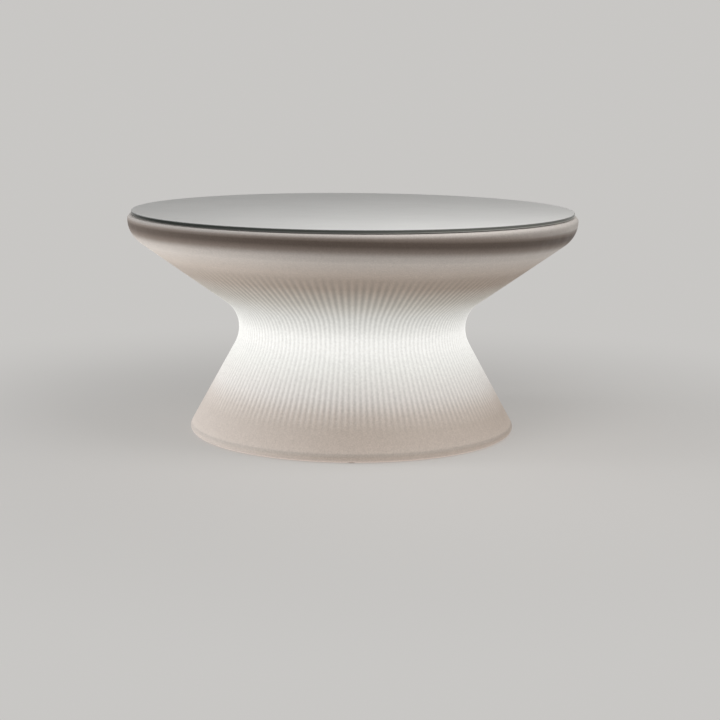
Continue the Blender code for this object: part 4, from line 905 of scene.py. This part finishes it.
def floor_paint():
    """Pale matt paint that passes into the background with the distance from the middle, for
    rays that look at it, and is see-through from below."""
    made = Finish("studio_paint", FLOOR_COLOUR, 0.9).set("Specular IOR Level", 0.1)
    tree = made.tree
    length = tree.nodes.new("ShaderNodeVectorMath")
    length.operation = "LENGTH"
    tree.links.new(made.place, length.inputs[0])
    fade = tree.nodes.new("ShaderNodeMapRange")
    fade.interpolation_type = "SMOOTHSTEP"
    for name, number in FLOOR_FADE.items():
        fade.inputs[name].default_value = number
    tree.links.new(length.outputs["Value"], fade.inputs["Value"])
    far = tree.nodes.new("ShaderNodeEmission")
    far.inputs["Color"].default_value = (*BACKGROUND, 1)
    seen = made.product(fade.outputs[0], looked_at(tree))
    above = mixed(tree, seen, made.shader.outputs[0], far.outputs[0])
    from_below = tree.nodes.new("ShaderNodeNewGeometry").outputs["Backfacing"]
    clear = tree.nodes.new("ShaderNodeBsdfTransparent").outputs[0]
    surface = mixed(tree, from_below, above, clear)
    tree.links.new(surface, tree.nodes["Material Output"].inputs["Surface"])
    return made.made


def make_floor():
    """A flat round floor, so that the underside can be looked at: rings at the floor's radius
    times the square of evenly spaced shares, joined by quads, and a fan in the middle."""
    around = np.arange(FLOOR_COLUMNS)
    angle = 2 * np.pi * around / FLOOR_COLUMNS
    radius = FLOOR_RADIUS * np.linspace(FLOOR_CORE_SHARE, 1, FLOOR_RINGS)[:, None] ** 2
    flat = np.zeros((FLOOR_RINGS, FLOOR_COLUMNS))
    rings = np.stack([radius * np.cos(angle), radius * np.sin(angle), flat], 2)
    points = np.concatenate([rings.reshape(-1, 3), [(0, 0, 0)]])
    quads = round_quads(FLOOR_RINGS, FLOOR_COLUMNS)
    middle = np.full(FLOOR_COLUMNS, len(points) - 1)
    fan = np.stack([around, (around + 1) % FLOOR_COLUMNS, middle], 1)
    mesh = bpy.data.meshes.new("studio_floor")
    mesh.from_pydata(points.tolist(), [], quads.tolist() + fan.tolist())
    mesh.update()
    mesh.materials.append(floor_paint())
    placed("studio_floor", mesh)


def make_world():
    """Even light from all round, with a pale background for the rays that look at it."""
    world = bpy.data.worlds.new("studio_air")
    world.use_nodes = True
    tree = world.node_tree
    tree.nodes.clear()
    shaders = []
    for colour, strength in ((AIR_COLOUR, AIR_LIGHT), (BACKGROUND, 1.0)):
        shader = tree.nodes.new("ShaderNodeBackground")
        shader.inputs["Color"].default_value = (*colour, 1)
        shader.inputs["Strength"].default_value = strength
        shaders.append(shader.outputs[0])
    out = tree.nodes.new("ShaderNodeOutputWorld")
    tree.links.new(mixed(tree, looked_at(tree), *shaders), out.inputs["Surface"])
    bpy.context.scene.world = world


def put(made, place, across, up, away):
    """Puts an object at a place, with its X, Y and Z axes along the three directions."""
    turn = np.eye(4)
    turn[:3, 0], turn[:3, 1], turn[:3, 2], turn[:3, 3] = across, up, away, place
    made.matrix_world = Matrix(turn.tolist())


def softbox(name, place, target, side, power, colour):
    """A square soft light at a place, turned to a target."""
    lamp = bpy.data.lights.new(name, "AREA")
    lamp.shape = "SQUARE"
    lamp.size = side
    lamp.energy = power
    lamp.color = colour
    made = placed(name, lamp)
    made.visible_camera = made.visible_glossy = False
    away = np.asarray(place, float) - np.asarray(target, float)
    away /= np.linalg.norm(away)
    across = np.cross((0.0, 0.0, 1.0), away)
    across /= np.linalg.norm(across)
    put(made, place, across, np.cross(away, across), away)


def make_camera():
    """The camera at the photograph's viewing angle: place, pitch, yaw, roll and focal length."""
    level = math.cos(CAMERA_PITCH)
    ahead = (math.sin(CAMERA_YAW) * level, math.cos(CAMERA_YAW) * level, -math.sin(CAMERA_PITCH))
    ahead = np.array(ahead)
    right = np.cross(ahead, (0.0, 0.0, 1.0))
    right /= np.linalg.norm(right)
    up = np.cross(right, ahead)
    cos, sin = math.cos(CAMERA_ROLL), math.sin(CAMERA_ROLL)
    data = bpy.data.cameras.new("studio_camera")
    data.sensor_width = SENSOR_WIDTH
    data.lens = FOCAL_PIXELS / IMAGE_PIXELS * SENSOR_WIDTH
    data.clip_start, data.clip_end = 0.05, 100.0
    made = placed("studio_camera", data)
    put(made, CAMERA_PLACE, cos * right + sin * up, cos * up - sin * right, -ahead)
    bpy.context.scene.camera = made


make_camera()
make_world()
make_floor()
softbox("left_softbox", place=(-2.6, -0.2, 0.42), target=(0, 0, 0.25), side=0.8, power=52.0,
        colour=(0.97, 0.985, 1.0))
softbox("right_softbox", place=(2.2, -0.7, 1.6), target=(0, 0, 0.2), side=1.0, power=13.0,
        colour=(1.0, 0.95, 0.90))
softbox("top_softbox", place=(0.27, -0.75, 1.15), target=(0.1, -0.25, 0.42), side=0.6, power=7.3,
        colour=(1.0, 0.99, 0.98))
bpy.context.scene.view_settings.view_transform = "Standard"
